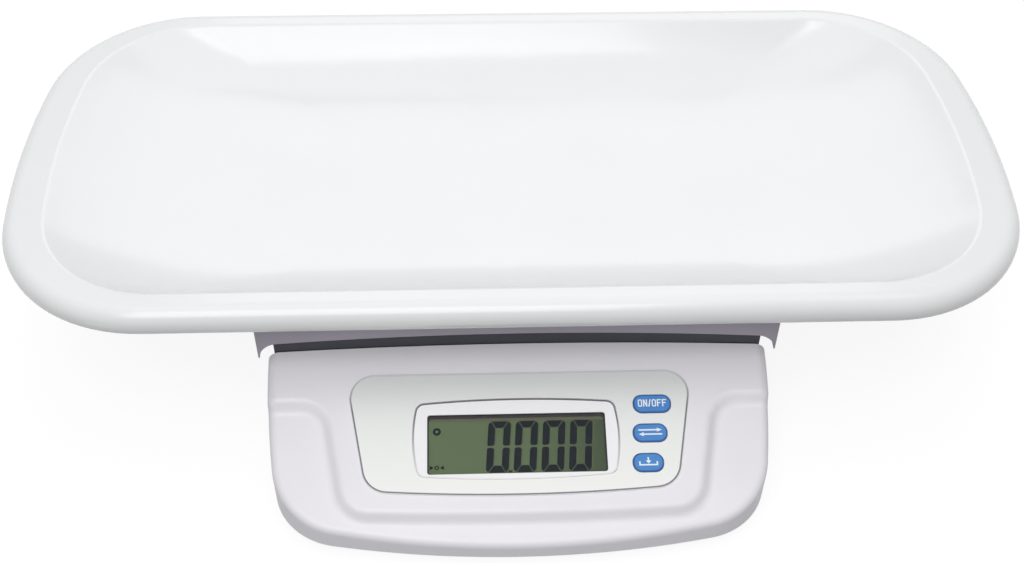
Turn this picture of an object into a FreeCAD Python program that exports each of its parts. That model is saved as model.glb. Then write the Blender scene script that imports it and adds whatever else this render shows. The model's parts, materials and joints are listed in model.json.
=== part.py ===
import FreeCAD, Part
import math
import os
import re
import Sketcher

# Baby weighing scale, millimetres. The pan's centre is the load axis. The frame's origin lies on the table
# at the middle of the footprint: X to the right, Y from the console to the rear, Z up.

os.makedirs("parts", exist_ok=True)
doc = FreeCAD.newDocument("BabyScale")
sheet = doc.addObject("Spreadsheet::Sheet", "Sizes")

driving = {
    # feet, case and load path, from the table up
    "foot_height": 6.0, "foot_radius": 12.0, "case_floor": 3.0, "housing_lift": 1.0,
    "plate_boss": 5.0, "cell_plate": 3.0, "lower_spacer": 11.0, "cell_height": 22.0,
    "upper_spacer": 18.5, "frame_thickness": 5.0, "platform_wall": 2.5, "pad_height": 1.0,
    # pan
    "pan_half_width": 277.0, "pan_half_depth": 132.5, "pan_corner": 84.0, "pan_end_radius": 490.0,
    "pan_wall": 2.5, "pan_depth": 32.5, "rim_roll": 9.0, "skirt_drop": 16.5, "rim_curl": 6.5,
    "rim_end_width": 23.0, "rim_side_width": 16.0, "rim_corner_width": 18.0, "mouth_lip": 3.0,
    "well_half_width": 137.0, "well_half_depth": 50.0, "well_corner": 44.0,
    "well_end_radius": 300.0, "bowl_power": 2.6,
    "peg_radius": 4.0, "peg_length": 7.0, "peg_clearance": 0.5, "peg_across": 62.0, "peg_along": 60.0,
    "pad_radius": 8.0, "pad_across": 110.0, "pad_along": 34.0,
    # platform
    "platform_half_width": 139.5, "platform_half_depth": 110.0, "platform_side_drop": 22.0,
    "platform_front_drop": 10.5, "platform_arch": 5.0, "platform_tip": 1.0, "platform_corner": 2.0,
    "frame_bar_half": 20.0, "frame_arm_half": 11.0, "frame_arm_reach": 88.0, "frame_arm_place": 95.0,
    "frame_corner": 8.0, "frame_screw_place": 76.0, "frame_screw_grip": 4.0, "head_recess": 2.8,
    # console housing
    "console_reach": 207.0, "console_half_width": 134.4, "console_back": 104.8, "console_back_bow": 2.8,
    "flank_radius": 380.0, "console_corner": 40.0, "console_bow": 8.3, "housing_wall": 2.5,
    "slope": 18.1, "panel_forward": 162.0, "panel_rise": 32.0, "shelf_step": 5.6,
    "shelf_edge": 4.5, "shoulder": 6.0, "blend_radius": 4.5, "step_taper": 40.0,
    "bar_place": 24.8, "stem_top_half": 105.9, "stem_foot_half": 93.9, "stem_foot_place": -38.1,
    "stem_tilt": 2.6, "stem_inner_corner": 13.0, "stem_outer_corner": 19.0,
    # faceplate, bezel and display, on the sloping panel
    "faceplate": 1.0, "face_top_half": 92.6, "face_foot_half": 80.6, "face_top_place": 42.9,
    "face_foot_place": -21.6, "face_bow": 3.4, "face_top_corner": 13.0, "face_foot_corner": 14.0,
    "bezel": 0.6, "bezel_gap": 0.25, "bezel_place": -2.5, "bezel_top_half": 51.8,
    "bezel_foot_half": 51.0, "bezel_top_place": 25.9, "bezel_foot_place": -14.0, "bezel_top_bow": 2.2,
    "bezel_foot_bow": 2.1, "bezel_side_bow": 2.6, "bezel_corner": 5.0,
    "window_place": -2.2, "window_half": 46.7, "window_middle": 3.4, "window_half_rise": 16.3,
    "lens": 1.2, "lens_margin": 4.0, "glass": 2.8, "glass_margin": 2.5, "window_corner": 1.5,
    "board_depth": 10.6, "board": 1.6, "board_left": 62.0, "board_right": 88.0, "board_foot": 22.0,
    "board_head": 38.0, "board_inset": 4.0, "board_boss": 3.0, "carrier_floor": 1.6, "display_gap": 0.3,
    # keys
    "key_left": 58.6, "key_lean": 1.12, "key_width": 17.9, "key_growth": 2.0, "key_rise": 10.1,
    "key_corner": 4.6, "key_pitch": 16.2, "key_middle": 7.3, "key_proud": 0.9, "key_gap": 0.25,
    "key_flange": 1.0, "key_flange_reach": 1.2, "key_travel": 0.6, "switch_side": 6.0,
    "switch_height": 3.4,
    "plunger_radius": 1.6, "plunger_gap": 0.06, "plunger_height": 1.0, "plunger_grip": 1.2,
    "stem_radius": 2.4, "key_edge": 0.7, "small_screw": 1.3, "small_head": 2.4, "small_grip": 6.0,
    "small_head_height": 1.7, "face_edge": 0.35, "chip_large": 14.0, "chip_middle": 10.0, "chip_small": 8.0,
    "chip_thickness": 1.2, "chip_left": 30.0, "chip_right": 34.0, "chip_centre": 6.0, "chip_rise": 4.0,
    "plug_width": 9.0, "plug_depth": 5.0, "plug_middle": 4.0, "plug_pitch": 18.0,
    "connector_place": 20.0, "connector_depth": 5.0, "buzzer_radius": 6.0, "buzzer_depth": 4.5,
    "lead_radius": 1.2,
    # deck cover
    "deck_step": 3.7, "deck_rear": 105.0, "deck_wall": 2.2, "deck_gap": 1.5, "deck_corner": 6.0,
    "deck_front_gap": 0.5, "spacer_clearance": 2.5,
    # load cell
    "cell_length": 130.0, "cell_width": 30.0, "cell_hole": 8.0, "cell_hole_pitch": 18.0,
    "cell_screw_place": 54.0, "cell_screw_pitch": 15.0, "spacer_length": 30.0, "spacer_place": 50.0,
    "cell_plate_half_length": 82.0, "cell_plate_half_width": 30.0, "plate_screw_inset": 9.0,
    "stop_gap": 0.8, "stop_radius": 4.0, "screw_radius": 2.5, "screw_head": 4.5, "screw_play": 0.3,
    "thread_play": 0.05, "head_height": 2.4, "cell_screw_grip": 8.0, "potting_height": 1.5,
    "potting_width": 21.0, "potting_corner": 0.9, "stop_nut": 4.0, "stop_nut_half": 6.4,
    "plate_boss_radius": 6.0,
    # battery bay and door
    "bay_half_width": 31.5, "bay_front": 35.0, "bay_length": 64.0, "bay_height": 18.0, "bay_wall": 2.0,
    "door_thickness": 2.0, "door_gap": 0.4, "hinge_radius": 1.5, "hinge_play": 0.08, "hinge_inset": 4.2,
    "battery_radius": 7.1, "battery_length": 50.0, "battery_pitch": 14.6, "contact": 0.5,
    "contact_height": 11.4, "nub_radius": 2.7, "nub_height": 1.4, "spring_tip": 2.8, "spring_foot": 5.3,
    "spring_bore": 1.8,
    # power jack and case screws
    "jack_place": 62.0, "jack_width": 9.0, "jack_height": 11.0, "jack_length": 14.0, "jack_hole": 3.2,
    "jack_pin": 1.0, "jack_rise": 12.0, "jack_nose": 4.2, "jack_hole_depth": 9.5, "case_boss": 4.0,
    "case_screw_length": 14.0, "case_head_recess": 2.0, "fit_gap": 0.3,
    "foot_chamfer": 1.5, "bridge_half": 9.6,
    "foot_front_place": 164.0, "foot_front_inset": 43.5, "foot_rear_place": 84.0,
    "foot_rear_inset": 23.8, "deck_screw_inset": 19.8, "deck_screw_along": 56.0,
    "console_screw_inset": 23.5, "console_screw_place": 130.0, "nose_screw_inset": 57.5,
    "nose_screw_place": 186.0,
}

# places that follow from the sizes above, as formulas of the same sheet
worked_out = {
    "mouth_half_width": "pan_half_width - rim_end_width",
    "mouth_half_depth": "pan_half_depth - rim_side_width",
    "mouth_corner": "pan_corner - rim_corner_width",
    "deck_half_width": "console_half_width - deck_step",
    "deck_screw_across": "deck_half_width - deck_screw_inset",
    "console_screw_across": "console_half_width - console_screw_inset",
    "nose_screw_across": "console_half_width - nose_screw_inset",
    "foot_front_across": "console_half_width - foot_front_inset",
    "foot_rear_across": "deck_half_width - foot_rear_inset",
    "load_axis_y": "(console_reach - pan_half_depth) / 2",
    "floor_top": "foot_height + case_floor",
    "housing_foot": "foot_height + housing_lift",
    "plate_foot": "floor_top + plate_boss",
    "lower_spacer_foot": "plate_foot + cell_plate",
    "cell_foot": "lower_spacer_foot + lower_spacer",
    "cell_top": "cell_foot + cell_height",
    "frame_foot": "cell_top + upper_spacer",
    "platform_inner": "frame_foot + frame_thickness",
    "platform_top": "platform_inner + platform_wall",
    "pan_foot": "platform_top + pad_height",
    "well_floor": "pan_foot + pan_wall",
    "rim_top": "well_floor + pan_depth",
    "skirt_foot": "rim_top - skirt_drop",
    "deck_top": "frame_foot - deck_gap",
    "deck_front": "-(console_back - deck_front_gap)",
    "panel_height": "foot_height + panel_rise",
    "panel_y": "load_axis_y - panel_forward",
    "flank_y": "-(console_back + console_back_bow)",
    "flank_x": "console_half_width - flank_radius",
    "back_radius": "(console_half_width ^ 2 + console_back_bow ^ 2) / (2 * console_back_bow)",
    "corner_y": "console_corner + console_bow - console_reach",
    "corner_x": "flank_x + sqrt((flank_radius - console_corner) ^ 2 - (corner_y - flank_y) ^ 2)",
    "corner_set": "console_corner + console_bow",
    "bow_radius": "(corner_x ^ 2 + corner_set ^ 2 - console_corner ^ 2) / (2 * console_bow)",
    "bow_y": "bow_radius - console_reach",
    "stem_lean": "atan((stem_top_half - stem_foot_half) / (bar_place - stem_foot_place))",
    "stem_spare": "stem_outer_corner * (1 - sin(stem_tilt * 1deg + stem_lean))",
    "stem_rise": "sin(stem_tilt * 1deg) * cos(stem_lean) - (1 - cos(stem_tilt * 1deg)) * sin(stem_lean)",
    "stem_bow_radius": "(stem_foot_half * cos(stem_lean) - stem_spare) / stem_rise",
    "stem_outer_x": "(stem_bow_radius - stem_outer_corner) * sin(stem_tilt * 1deg)",
    "stem_bow_y": "stem_foot_place + stem_bow_radius",
    "stem_outer_y": "stem_bow_y - (stem_bow_radius - stem_outer_corner) * cos(stem_tilt * 1deg)",
    "stem_inner_y": "bar_place - stem_inner_corner",
    "stem_drift": "(stem_inner_y - stem_foot_place) * sin(stem_lean)",
    "stem_inner_x": "stem_foot_half + (stem_inner_corner + stem_drift) / cos(stem_lean)",
    "board_top": "-board_depth",
    "switch_top": "switch_height - board_depth",
    "key_top": "faceplate + key_proud",
    "bay_rear": "bay_front + bay_length",
    "hinge_y": "bay_front + hinge_inset",
    "hinge_z": "foot_height + door_thickness + hinge_radius",
    "jack_axis_z": "floor_top + jack_rise",
    "deck_inner_top": "deck_top - deck_wall",
    "battery_axis_z": "foot_height + door_thickness + door_gap + battery_radius",
    "battery_front": "hinge_y + door_thickness + hinge_radius + 2 * door_gap + contact",
}

for row, (alias, size) in enumerate(driving.items(), start=1):
    sheet.set("A%d" % row, str(size))
    sheet.setAlias("A%d" % row, alias)
for row, (alias, formula) in enumerate(worked_out.items(), start=1):
    sheet.set("B%d" % row, "=" + formula)
    sheet.setAlias("B%d" % row, alias)
doc.recompute()

aliases = set(driving) | set(worked_out)
pieces = []


def linked(formula):
    # each size that a formula mentions, read from the sheet
    def spelled(word):
        return "Sizes." + word.group() if word.group() in aliases else word.group()
    return re.sub(r"[A-Za-z_]\w*", spelled, str(formula))


def value(formula):
    result = sheet.evalExpression(linked(formula))
    return float(getattr(result, "Value", result))


def bind(thing, **properties):
    for name, formula in properties.items():
        thing.setExpression(name.replace("__", "."), linked(formula))
    return thing


def add(kind, label):
    thing = doc.addObject(kind, label)
    thing.Label = label
    return thing


def placed(thing, x="0", y="0", z="0"):
    bind(thing, Placement__Base__x=x, Placement__Base__y=y, Placement__Base__z=z)
    return thing


def tilted(thing, forward="-panel_forward"):
    # lies on the console's sloping panel
    axis = FreeCAD.Vector(1, 0, 0)
    thing.Placement = FreeCAD.Placement(FreeCAD.Vector(), FreeCAD.Rotation(axis, value("slope")))
    placed(thing, y=forward, z="panel_height")
    bind(thing, Placement__Rotation__Angle="slope * 1deg")
    return thing


def keep(thing, label, panel=False):
    # a finished piece, on the panel or about the load axis
    thing.Label = label
    if panel:
        tilted(thing, "panel_y")
    else:
        placed(thing, y="load_axis_y")
    pieces.append(thing)
    return thing


# ---- sketches

def draw(sketch, path):
    # a closed outline: each point has an X and a Y formula, and the radius of the arc that leaves it;
    # a radius with a minus sign bends the arc clockwise
    points = [FreeCAD.Vector(value(step[0]), value(step[1]), 0) for step in path]
    first = sketch.GeometryCount
    ends = []
    for number, step in enumerate(path):
        here = points[number]
        there = points[(number + 1) % len(points)]
        radius = step[2] if len(step) > 2 else None
        if radius is None:
            sketch.addGeometry(Part.LineSegment(here, there))
            ends.append((1, 2))
            continue
        clockwise = radius.startswith("-")
        size = abs(value(radius))
        start, stop = (there, here) if clockwise else (here, there)
        chord = stop - start
        inward = FreeCAD.Vector(-chord.y, chord.x, 0).normalize()
        reach = math.sqrt(max(size ** 2 - (chord.Length / 2) ** 2, 0.0))
        centre = (start + stop) * 0.5 + inward * reach
        circle = Part.Circle(centre, FreeCAD.Vector(0, 0, 1), size)
        turn = [math.atan2(end.y - centre.y, end.x - centre.x) for end in (start, stop)]
        sketch.addGeometry(Part.ArcOfCircle(circle, turn[0], turn[1]))
        ends.append((2, 1) if clockwise else (1, 2))
        place = sketch.addConstraint(Sketcher.Constraint("Radius", first + number, size))
        sketch.setExpression("Constraints[%d]" % place, linked(radius.lstrip("-")))
    for number, step in enumerate(path):
        after = (number + 1) % len(path)
        joined = (first + number, ends[number][1], first + after, ends[after][0])
        sketch.addConstraint(Sketcher.Constraint("Coincident", *joined))
        for kind, formula in (("DistanceX", step[0]), ("DistanceY", step[1])):
            size = value(formula)
            datum = Sketcher.Constraint(kind, -1, 1, first + number, ends[number][0], size)
            place = sketch.addConstraint(datum)
            sketch.setExpression("Constraints[%d]" % place, linked(formula))


def draw_circle(sketch, x, y, radius):
    centre = FreeCAD.Vector(value(x), value(y), 0)
    number = sketch.addGeometry(Part.Circle(centre, FreeCAD.Vector(0, 0, 1), value(radius)))
    for kind, formula in (("DistanceX", x), ("DistanceY", y)):
        place = sketch.addConstraint(Sketcher.Constraint(kind, -1, 1, number, 3, value(formula)))
        sketch.setExpression("Constraints[%d]" % place, linked(formula))
    place = sketch.addConstraint(Sketcher.Constraint("Radius", number, value(radius)))
    sketch.setExpression("Constraints[%d]" % place, linked(radius))


def rectangle(x, y, half_width, half_depth):
    return [(f"({x}) + ({half_width})", f"({y}) + ({half_depth})"),
            (f"({x}) - ({half_width})", f"({y}) + ({half_depth})"),
            (f"({x}) - ({half_width})", f"({y}) - ({half_depth})"),
            (f"({x}) + ({half_width})", f"({y}) - ({half_depth})")]


def sketch_on(body, role, height, *outlines, circles=()):
    sketch = body.newObject("Sketcher::SketchObject", body.Label + "_sketch")
    plane = [feature for feature in body.Origin.OriginFeatures if feature.Role == role][0]
    sketch.AttachmentSupport = [(plane, "")]
    sketch.MapMode = "FlatFace"
    bind(sketch, AttachmentOffset__Base__z=height)
    for outline in outlines:
        draw(sketch, outline)
    for circle in circles:
        draw_circle(sketch, *circle)
    return sketch


def pad(body, length, height, *outlines, circles=(), role="XY_Plane", taper="0"):
    feature = body.newObject("PartDesign::Pad", body.Label + "_pad")
    feature.Profile = sketch_on(body, role, height, *outlines, circles=circles)
    bind(feature, Length=length)
    if taper != "0":
        bind(feature, TaperAngle=taper)
    doc.recompute()
    return feature


def pocket(body, depth, height, *outlines, circles=(), role="XY_Plane", away=False):
    # cuts from its sketch downwards, or upwards where away is set
    feature = body.newObject("PartDesign::Pocket", body.Label + "_pocket")
    feature.Profile = sketch_on(body, role, height, *outlines, circles=circles)
    feature.Reversed = away
    bind(feature, Length=depth)
    before = feature.BaseFeature.Shape.Volume
    doc.recompute()
    if feature.Shape.isNull() or feature.Shape.Volume > before - 1e-3:
        raise ValueError(body.Label + ": a pocket cuts nothing")
    return feature


def edges_of(shape, wanted):
    return ["Edge%d" % (number + 1) for number, edge in enumerate(shape.Edges) if wanted(edge)]


def rounded(body, radius, wanted):
    base = body.Tip
    feature = body.newObject("PartDesign::Fillet", body.Label + "_fillet")
    feature.Base = (base, edges_of(base.Shape, wanted))
    bind(feature, Radius=radius)
    doc.recompute()
    return feature


def upright(edge):
    box = edge.BoundBox
    return box.ZLength > 0.8 * edge.Length


def at_height(formula, tolerance=0.05):
    height = value(formula)
    return lambda edge: abs(edge.BoundBox.ZMin - height) + abs(edge.BoundBox.ZMax - height) < tolerance


def new_body(label):
    return add("PartDesign::Body", label)


# ---- plain solids and booleans

def block(label, x, y, z, wide, deep, tall):
    # a box by its centre in plan and its foot
    solid = add("Part::Box", label)
    bind(solid, Length=wide, Width=deep, Height=tall)
    return placed(solid, f"({x}) - ({wide}) / 2", f"({y}) - ({deep}) / 2", z)


def rod(label, x, y, z, radius, length, along="z"):
    solid = add("Part::Cylinder", label)
    bind(solid, Radius=radius, Height=length)
    turns = {"z": FreeCAD.Rotation(), "x": FreeCAD.Rotation(FreeCAD.Vector(0, 1, 0), 90),
             "y": FreeCAD.Rotation(FreeCAD.Vector(1, 0, 0), -90)}
    solid.Placement = FreeCAD.Placement(FreeCAD.Vector(), turns[along])
    return placed(solid, x, y, z)


def prism(label, height, length, *outlines, circles=()):
    # an upright prism from a sketch in plan
    sketch = add("Sketcher::SketchObject", label + "_sketch")
    for outline in outlines:
        draw(sketch, outline)
    for circle in circles:
        draw_circle(sketch, *circle)
    placed(sketch, z=height)
    solid = add("Part::Extrusion", label)
    solid.Base = sketch
    solid.DirMode = "Custom"
    solid.Dir = FreeCAD.Vector(0, 0, 1)
    solid.Solid = True
    bind(solid, LengthFwd=length)
    return solid


def fused(label, *solids):
    whole = add("Part::MultiFuse", label)
    whole.Shapes = list(solids)
    return whole


def common(label, *solids):
    whole = add("Part::MultiCommon", label)
    whole.Shapes = list(solids)
    return whole


def cut(label, base, *tools):
    tool = tools[0] if len(tools) == 1 else fused(label + "_tools", *tools)
    rest = add("Part::Cut", label)
    rest.Base = base
    rest.Tool = tool
    return rest


def group(label, *solids):
    # separate solids of one kind in one node
    whole = add("Part::Compound", label)
    whole.Links = list(solids)
    return whole


def softened(label, base, radius, wanted, kind="Fillet"):
    doc.recompute()
    shape = add("Part::" + kind, label)
    shape.Base = base
    size = value(radius)
    numbers = [number + 1 for number, edge in enumerate(base.Shape.Edges) if wanted(edge)]
    shape.Edges = [(number, size, size) for number in numbers]
    doc.recompute()
    return shape


def screw(label, x, y, seat, length, thickness="head_height", down=True, radius="screw_radius",
          head="screw_head"):
    # a screw by the seat of its head, pointing down or up
    shank = rod(label + "_shank", x, y, f"({seat}) - ({length})" if down else seat, radius, length)
    cap = rod(label + "_head", x, y, seat if down else f"({seat}) - ({thickness})", head, thickness)
    return fused(label, shank, cap)


def corners(x, y):
    # the four mirrored places of one point
    return [(f"{a}({x})", f"{b}({y})") for a in ("-", "") for b in ("-", "")]


# ---- outlines

def pan_outline(half_width, half_depth, corner, end):
    # straight front and back, round corners and gently curved ends
    middle = f"(({half_width}) - ({end}))"
    corner_y = f"(({half_depth}) - ({corner}))"
    run = f"sqrt((({end}) - ({corner})) ^ 2 - {corner_y} ^ 2)"
    corner_x = f"({middle} + {run})"
    share = f"(({end}) / (({end}) - ({corner})))"
    join_x = f"{middle} + {run} * {share}"
    join_y = f"{corner_y} * {share}"
    return [(corner_x, half_depth), (f"-{corner_x}", half_depth, corner),
            (f"-({join_x})", join_y, end), (f"-({join_x})", f"-({join_y})", corner),
            (f"-{corner_x}", f"-({half_depth})"), (corner_x, f"-({half_depth})", corner),
            (join_x, f"-({join_y})", end), (join_x, join_y, corner)]


def console_outline(inset, back=True):
    # bowed front, round corners and tapering flanks; the rear edge bows back a little
    flank = f"(flank_radius - ({inset}))"
    corner = f"(console_corner - ({inset}))"
    bow = f"(bow_radius - ({inset}))"
    side = f"(console_half_width - ({inset}))"
    rear = f"(flank_y - ({inset}))" if back else "flank_y"
    flank_share = f"{flank} / (flank_radius - console_corner)"
    bow_share = f"{bow} / (bow_radius - console_corner)"
    first_x = f"(flank_x + (corner_x - flank_x) * {flank_share})"
    first_y = f"(flank_y + (corner_y - flank_y) * {flank_share})"
    second_x = f"(corner_x * {bow_share})"
    second_y = f"(bow_y + (corner_y - bow_y) * {bow_share})"
    return [(side, rear, "back_radius"), (f"-{side}", rear, flank), (f"-{first_x}", first_y, corner),
            (f"-{second_x}", second_y, bow), (second_x, second_y, corner), (first_x, first_y, flank)]


def deck_outline(inset):
    # the deck and the case under it, behind the console
    side = f"(deck_half_width - ({inset}))"
    rear = f"(deck_rear - ({inset}))"
    front = f"(deck_front - console_back_bow * (deck_half_width / console_half_width) ^ 2 + ({inset}))"
    return [(side, rear), (f"-{side}", rear), (f"-{side}", front, "-back_radius"), (side, front)]


def slanted(top_half, foot_half, top, foot, bow, shift="0"):
    # a plate that narrows downwards, with a bowed lower edge
    radius = f"((({foot_half}) ^ 2 + ({bow}) ^ 2) / (2 * ({bow})))"
    return [(f"({shift}) + ({top_half})", top), (f"({shift}) - ({top_half})", top),
            (f"({shift}) - ({foot_half})", foot, radius), (f"({shift}) + ({foot_half})", foot)]


def bezel_outline(grow):
    # arched top and bottom, bulging sides
    top = f"(bezel_top_place + ({grow}))"
    foot = f"(bezel_foot_place - ({grow}))"
    upper = f"(bezel_top_half + ({grow}))"
    lower = f"(bezel_foot_half + ({grow}))"
    top_radius = f"(({upper} ^ 2 + bezel_top_bow ^ 2) / (2 * bezel_top_bow))"
    foot_radius = f"(({lower} ^ 2 + bezel_foot_bow ^ 2) / (2 * bezel_foot_bow))"
    rise = f"(({top} - {foot}) / 2)"
    side_radius = f"(({rise} ^ 2 + bezel_side_bow ^ 2) / (2 * bezel_side_bow))"
    return [(f"bezel_place + {upper}", top, top_radius), (f"bezel_place - {upper}", top, side_radius),
            (f"bezel_place - {lower}", foot, foot_radius), (f"bezel_place + {lower}", foot, side_radius)]


def pill(x, y, width, rise, corner):
    # a key's outline, nearly round at both ends
    right = f"(({x}) + ({width}) / 2)"
    left = f"(({x}) - ({width}) / 2)"
    top = f"(({y}) + ({rise}) / 2)"
    foot = f"(({y}) - ({rise}) / 2)"
    return [(f"{right} - {corner}", top), (f"{left} + {corner}", top, corner),
            (left, f"{top} - {corner}"), (left, f"{foot} + {corner}", corner),
            (f"{left} + {corner}", foot), (f"{right} - {corner}", foot, corner),
            (right, f"{foot} + {corner}"), (right, f"{top} - {corner}", corner)]


# ---- pan

def bowl_section(share, wall, label):
    # one level of the bowl, from the well's floor at 0 to the mouth at 1
    half_width = f"well_half_width + (mouth_half_width - well_half_width) * {share} + {wall}"
    half_depth = f"well_half_depth + (mouth_half_depth - well_half_depth) * {share} + {wall}"
    corner = f"well_corner + (mouth_corner - well_corner) * {share} + {wall}"
    end = f"well_end_radius + (pan_end_radius - well_end_radius) * {share} + {wall}"
    sketch = add("Sketcher::SketchObject", label)
    draw(sketch, pan_outline(half_width, half_depth, corner, end))
    return placed(sketch, z=f"well_floor - ({wall}) + pan_depth * {share} ^ bowl_power")


def bowl(label, wall):
    loft = add("Part::Loft", label)
    shares = (0.0, 0.18, 0.35, 0.52, 0.68, 0.84, 1.0)
    loft.Sections = [bowl_section(share, wall, "%s_%d" % (label, 100 * share)) for share in shares]
    loft.Solid = True
    loft.Ruled = False
    return loft


def make_pan():
    # the rim is rolled over at its top and curls under at its foot, with a hollow that is open below
    def offset(inset):
        return pan_outline(f"pan_half_width - {inset}", f"pan_half_depth - {inset}", f"pan_corner - {inset}",
                           f"pan_end_radius - {inset}")

    rim = new_body("rim")
    pad(rim, "skirt_drop", "skirt_foot", offset("0"))
    rounded(rim, "rim_roll", at_height("rim_top"))
    rounded(rim, "rim_curl", at_height("skirt_foot"))
    hollow = new_body("rim_hollow")
    pad(hollow, "skirt_drop - 2 * pan_wall", "skirt_foot + pan_wall", offset("pan_wall"))
    rounded(hollow, "rim_roll - pan_wall", at_height("rim_top - pan_wall"))
    rounded(hollow, "rim_curl - pan_wall", at_height("skirt_foot + pan_wall"))
    below = new_body("rim_opening")
    pad(below, "2 * pan_wall", "skirt_foot", offset("rim_curl"))
    shell = cut("rim_shell", rim, hollow, below)
    tub = fused("rim_and_tub", shell, bowl("tub", "pan_wall"))
    pegs = [rod("peg", x, y, "pan_foot - peg_length", "peg_radius", "peg_length + pan_wall / 2")
            for x, y in corners("peg_across", "peg_along")]
    carved = cut("pan_carved", fused("pan_whole", tub, *pegs), bowl("bowl", "0"))
    lip = at_height("rim_top")
    reach = value("mouth_half_width + rim_roll / 2")

    def inner_lip(edge):
        box = edge.BoundBox
        return lip(edge) and max(abs(box.XMin), abs(box.XMax)) < reach and \
            max(abs(box.YMin), abs(box.YMax)) < value("mouth_half_depth") + 1.0
    keep(softened("pan_body", carved, "mouth_lip", inner_lip), "pan")


def make_pan_pads():
    pads = [rod("pad", x, y, "platform_top", "pad_radius", "pad_height")
            for x, y in corners("pad_across", "pad_along")]
    keep(group("pan_pad_set", *pads), "pan_pads")


# ---- platform

def make_platform_top():
    body = new_body("platform_body")
    whole = rectangle("0", "0", "platform_half_width", "platform_half_depth")
    inner = rectangle("0", "0", "platform_half_width - platform_wall", "platform_half_depth - platform_wall")
    pad(body, "platform_side_drop", "platform_top - platform_side_drop", whole)
    rounded(body, "platform_corner", upright)
    rounded(body, "platform_corner", at_height("platform_top"))
    pocket(body, "platform_side_drop - platform_wall", "platform_top - platform_side_drop", inner, away=True)
    tip = "(platform_half_width - platform_tip)"
    foot = "(platform_top - platform_side_drop)"
    edge = "(platform_top - platform_front_drop)"
    rise = f"({edge} - {foot})"
    reach = f"({tip} - {rise})"
    arch = f"(({reach} ^ 2 + platform_arch ^ 2) / (2 * platform_arch))"
    below = f"({foot} - platform_wall)"
    scoop = [(f"-{tip}", below), (tip, below), (tip, foot, rise), (reach, edge, arch),
             (f"-{reach}", edge, rise), (f"-{tip}", foot)]
    pocket(body, "2 * platform_half_depth", "platform_half_depth", scoop, role="XZ_Plane")
    holes = [(x, y, "peg_radius + peg_clearance") for x, y in corners("peg_across", "peg_along")]
    pocket(body, "platform_wall", "platform_top", circles=holes)
    threads = [(x, y, "screw_radius + thread_play")
               for x, y in corners("frame_arm_place", "frame_screw_place")]
    pocket(body, "frame_screw_grip + head_recess - frame_thickness", "platform_inner", circles=threads,
           away=True)
    keep(body, "platform_top_cover")


def make_platform_frame():
    # a flat casting shaped like an H that carries the platform on the load cell's free end
    body = new_body("frame_body")
    outer = "(frame_arm_place + frame_arm_half)"
    inner = "(frame_arm_place - frame_arm_half)"
    right = [(outer, "-frame_arm_reach"), (outer, "frame_arm_reach"), (inner, "frame_arm_reach"),
             (inner, "frame_bar_half")]
    left = [(f"-{inner}", "frame_bar_half"), (f"-{inner}", "frame_arm_reach"),
            (f"-{outer}", "frame_arm_reach"), (f"-{outer}", "-frame_arm_reach"),
            (f"-{inner}", "-frame_arm_reach"),
            (f"-{inner}", "-frame_bar_half")]
    close = [(inner, "-frame_bar_half"), (inner, "-frame_arm_reach")]
    pad(body, "frame_thickness", "frame_foot", right + left + close)
    rounded(body, "frame_corner", upright)
    places = corners("frame_arm_place", "frame_screw_place")
    holes = [(x, y, "screw_radius + screw_play") for x, y in places]
    wells = [(x, y, "screw_head + screw_play") for x, y in places]
    pocket(body, "frame_thickness", "platform_inner", circles=holes)
    pocket(body, "head_recess", "frame_foot", circles=wells, away=True)
    cell_holes = [(x, "0", "screw_radius + screw_play") for x in free_end_screws]
    cell_wells = [(x, "0", "screw_head + screw_play") for x in free_end_screws]
    pocket(body, "frame_thickness", "platform_inner", circles=cell_holes)
    pocket(body, "head_recess", "platform_inner", circles=cell_wells)
    keep(body, "platform_frame")
    screws = [screw("frame_screw", x, y, "frame_foot + head_recess", "frame_screw_grip", down=False)
              for x, y in places]
    keep(group("frame_screw_set", *screws), "platform_screws")


def make_upper_spacer():
    solid = block("spacer", "-spacer_place", "0", "cell_top", "spacer_length", "cell_width", "upper_spacer")
    holes = [rod("hole", x, "0", "cell_top", "screw_radius + screw_play", "upper_spacer")
             for x in free_end_screws]
    keep(cut("upper_spacer_body", solid, *holes), "upper_spacer_block")
    length = "upper_spacer + frame_thickness - head_recess + cell_screw_grip"
    screws = [screw("cell_screw", x, "0", "platform_inner - head_recess", length) for x in free_end_screws]
    keep(group("upper_cell_screw_set", *screws), "upper_cell_screws")


# ---- load cell on its plate

def make_load_cell():
    beam = block("beam", "0", "0", "cell_foot", "cell_length", "cell_width", "cell_height")
    middle = "(cell_foot + cell_height / 2)"
    bores = [rod("bore", x, "-cell_width / 2", middle, "cell_hole", "cell_width", along="y")
             for x in ("-cell_hole_pitch / 2", "cell_hole_pitch / 2")]
    slot = block("slot", "0", "0", f"{middle} - cell_hole / 4", "cell_hole_pitch", "cell_width",
                 "cell_hole / 2")
    upper = [rod("thread", x, "0", "cell_top - cell_screw_grip", "screw_radius + thread_play",
                 "cell_screw_grip") for x in free_end_screws]
    lower = [rod("thread", x, "0", "cell_foot", "screw_radius + thread_play", "cell_screw_grip")
             for x in fixed_end_screws]
    keep(cut("cell_body", beam, slot, *bores, *upper, *lower), "load_cell")
    pots = [block("pot", "0", "0", z, "cell_hole_pitch + cell_hole", "potting_width", "potting_height")
            for z in ("cell_top", "cell_foot - potting_height")]
    soft = [softened("pot_soft", pot, "potting_corner", upright) for pot in pots]
    keep(group("pot_set", *soft), "gauge_potting")


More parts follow.
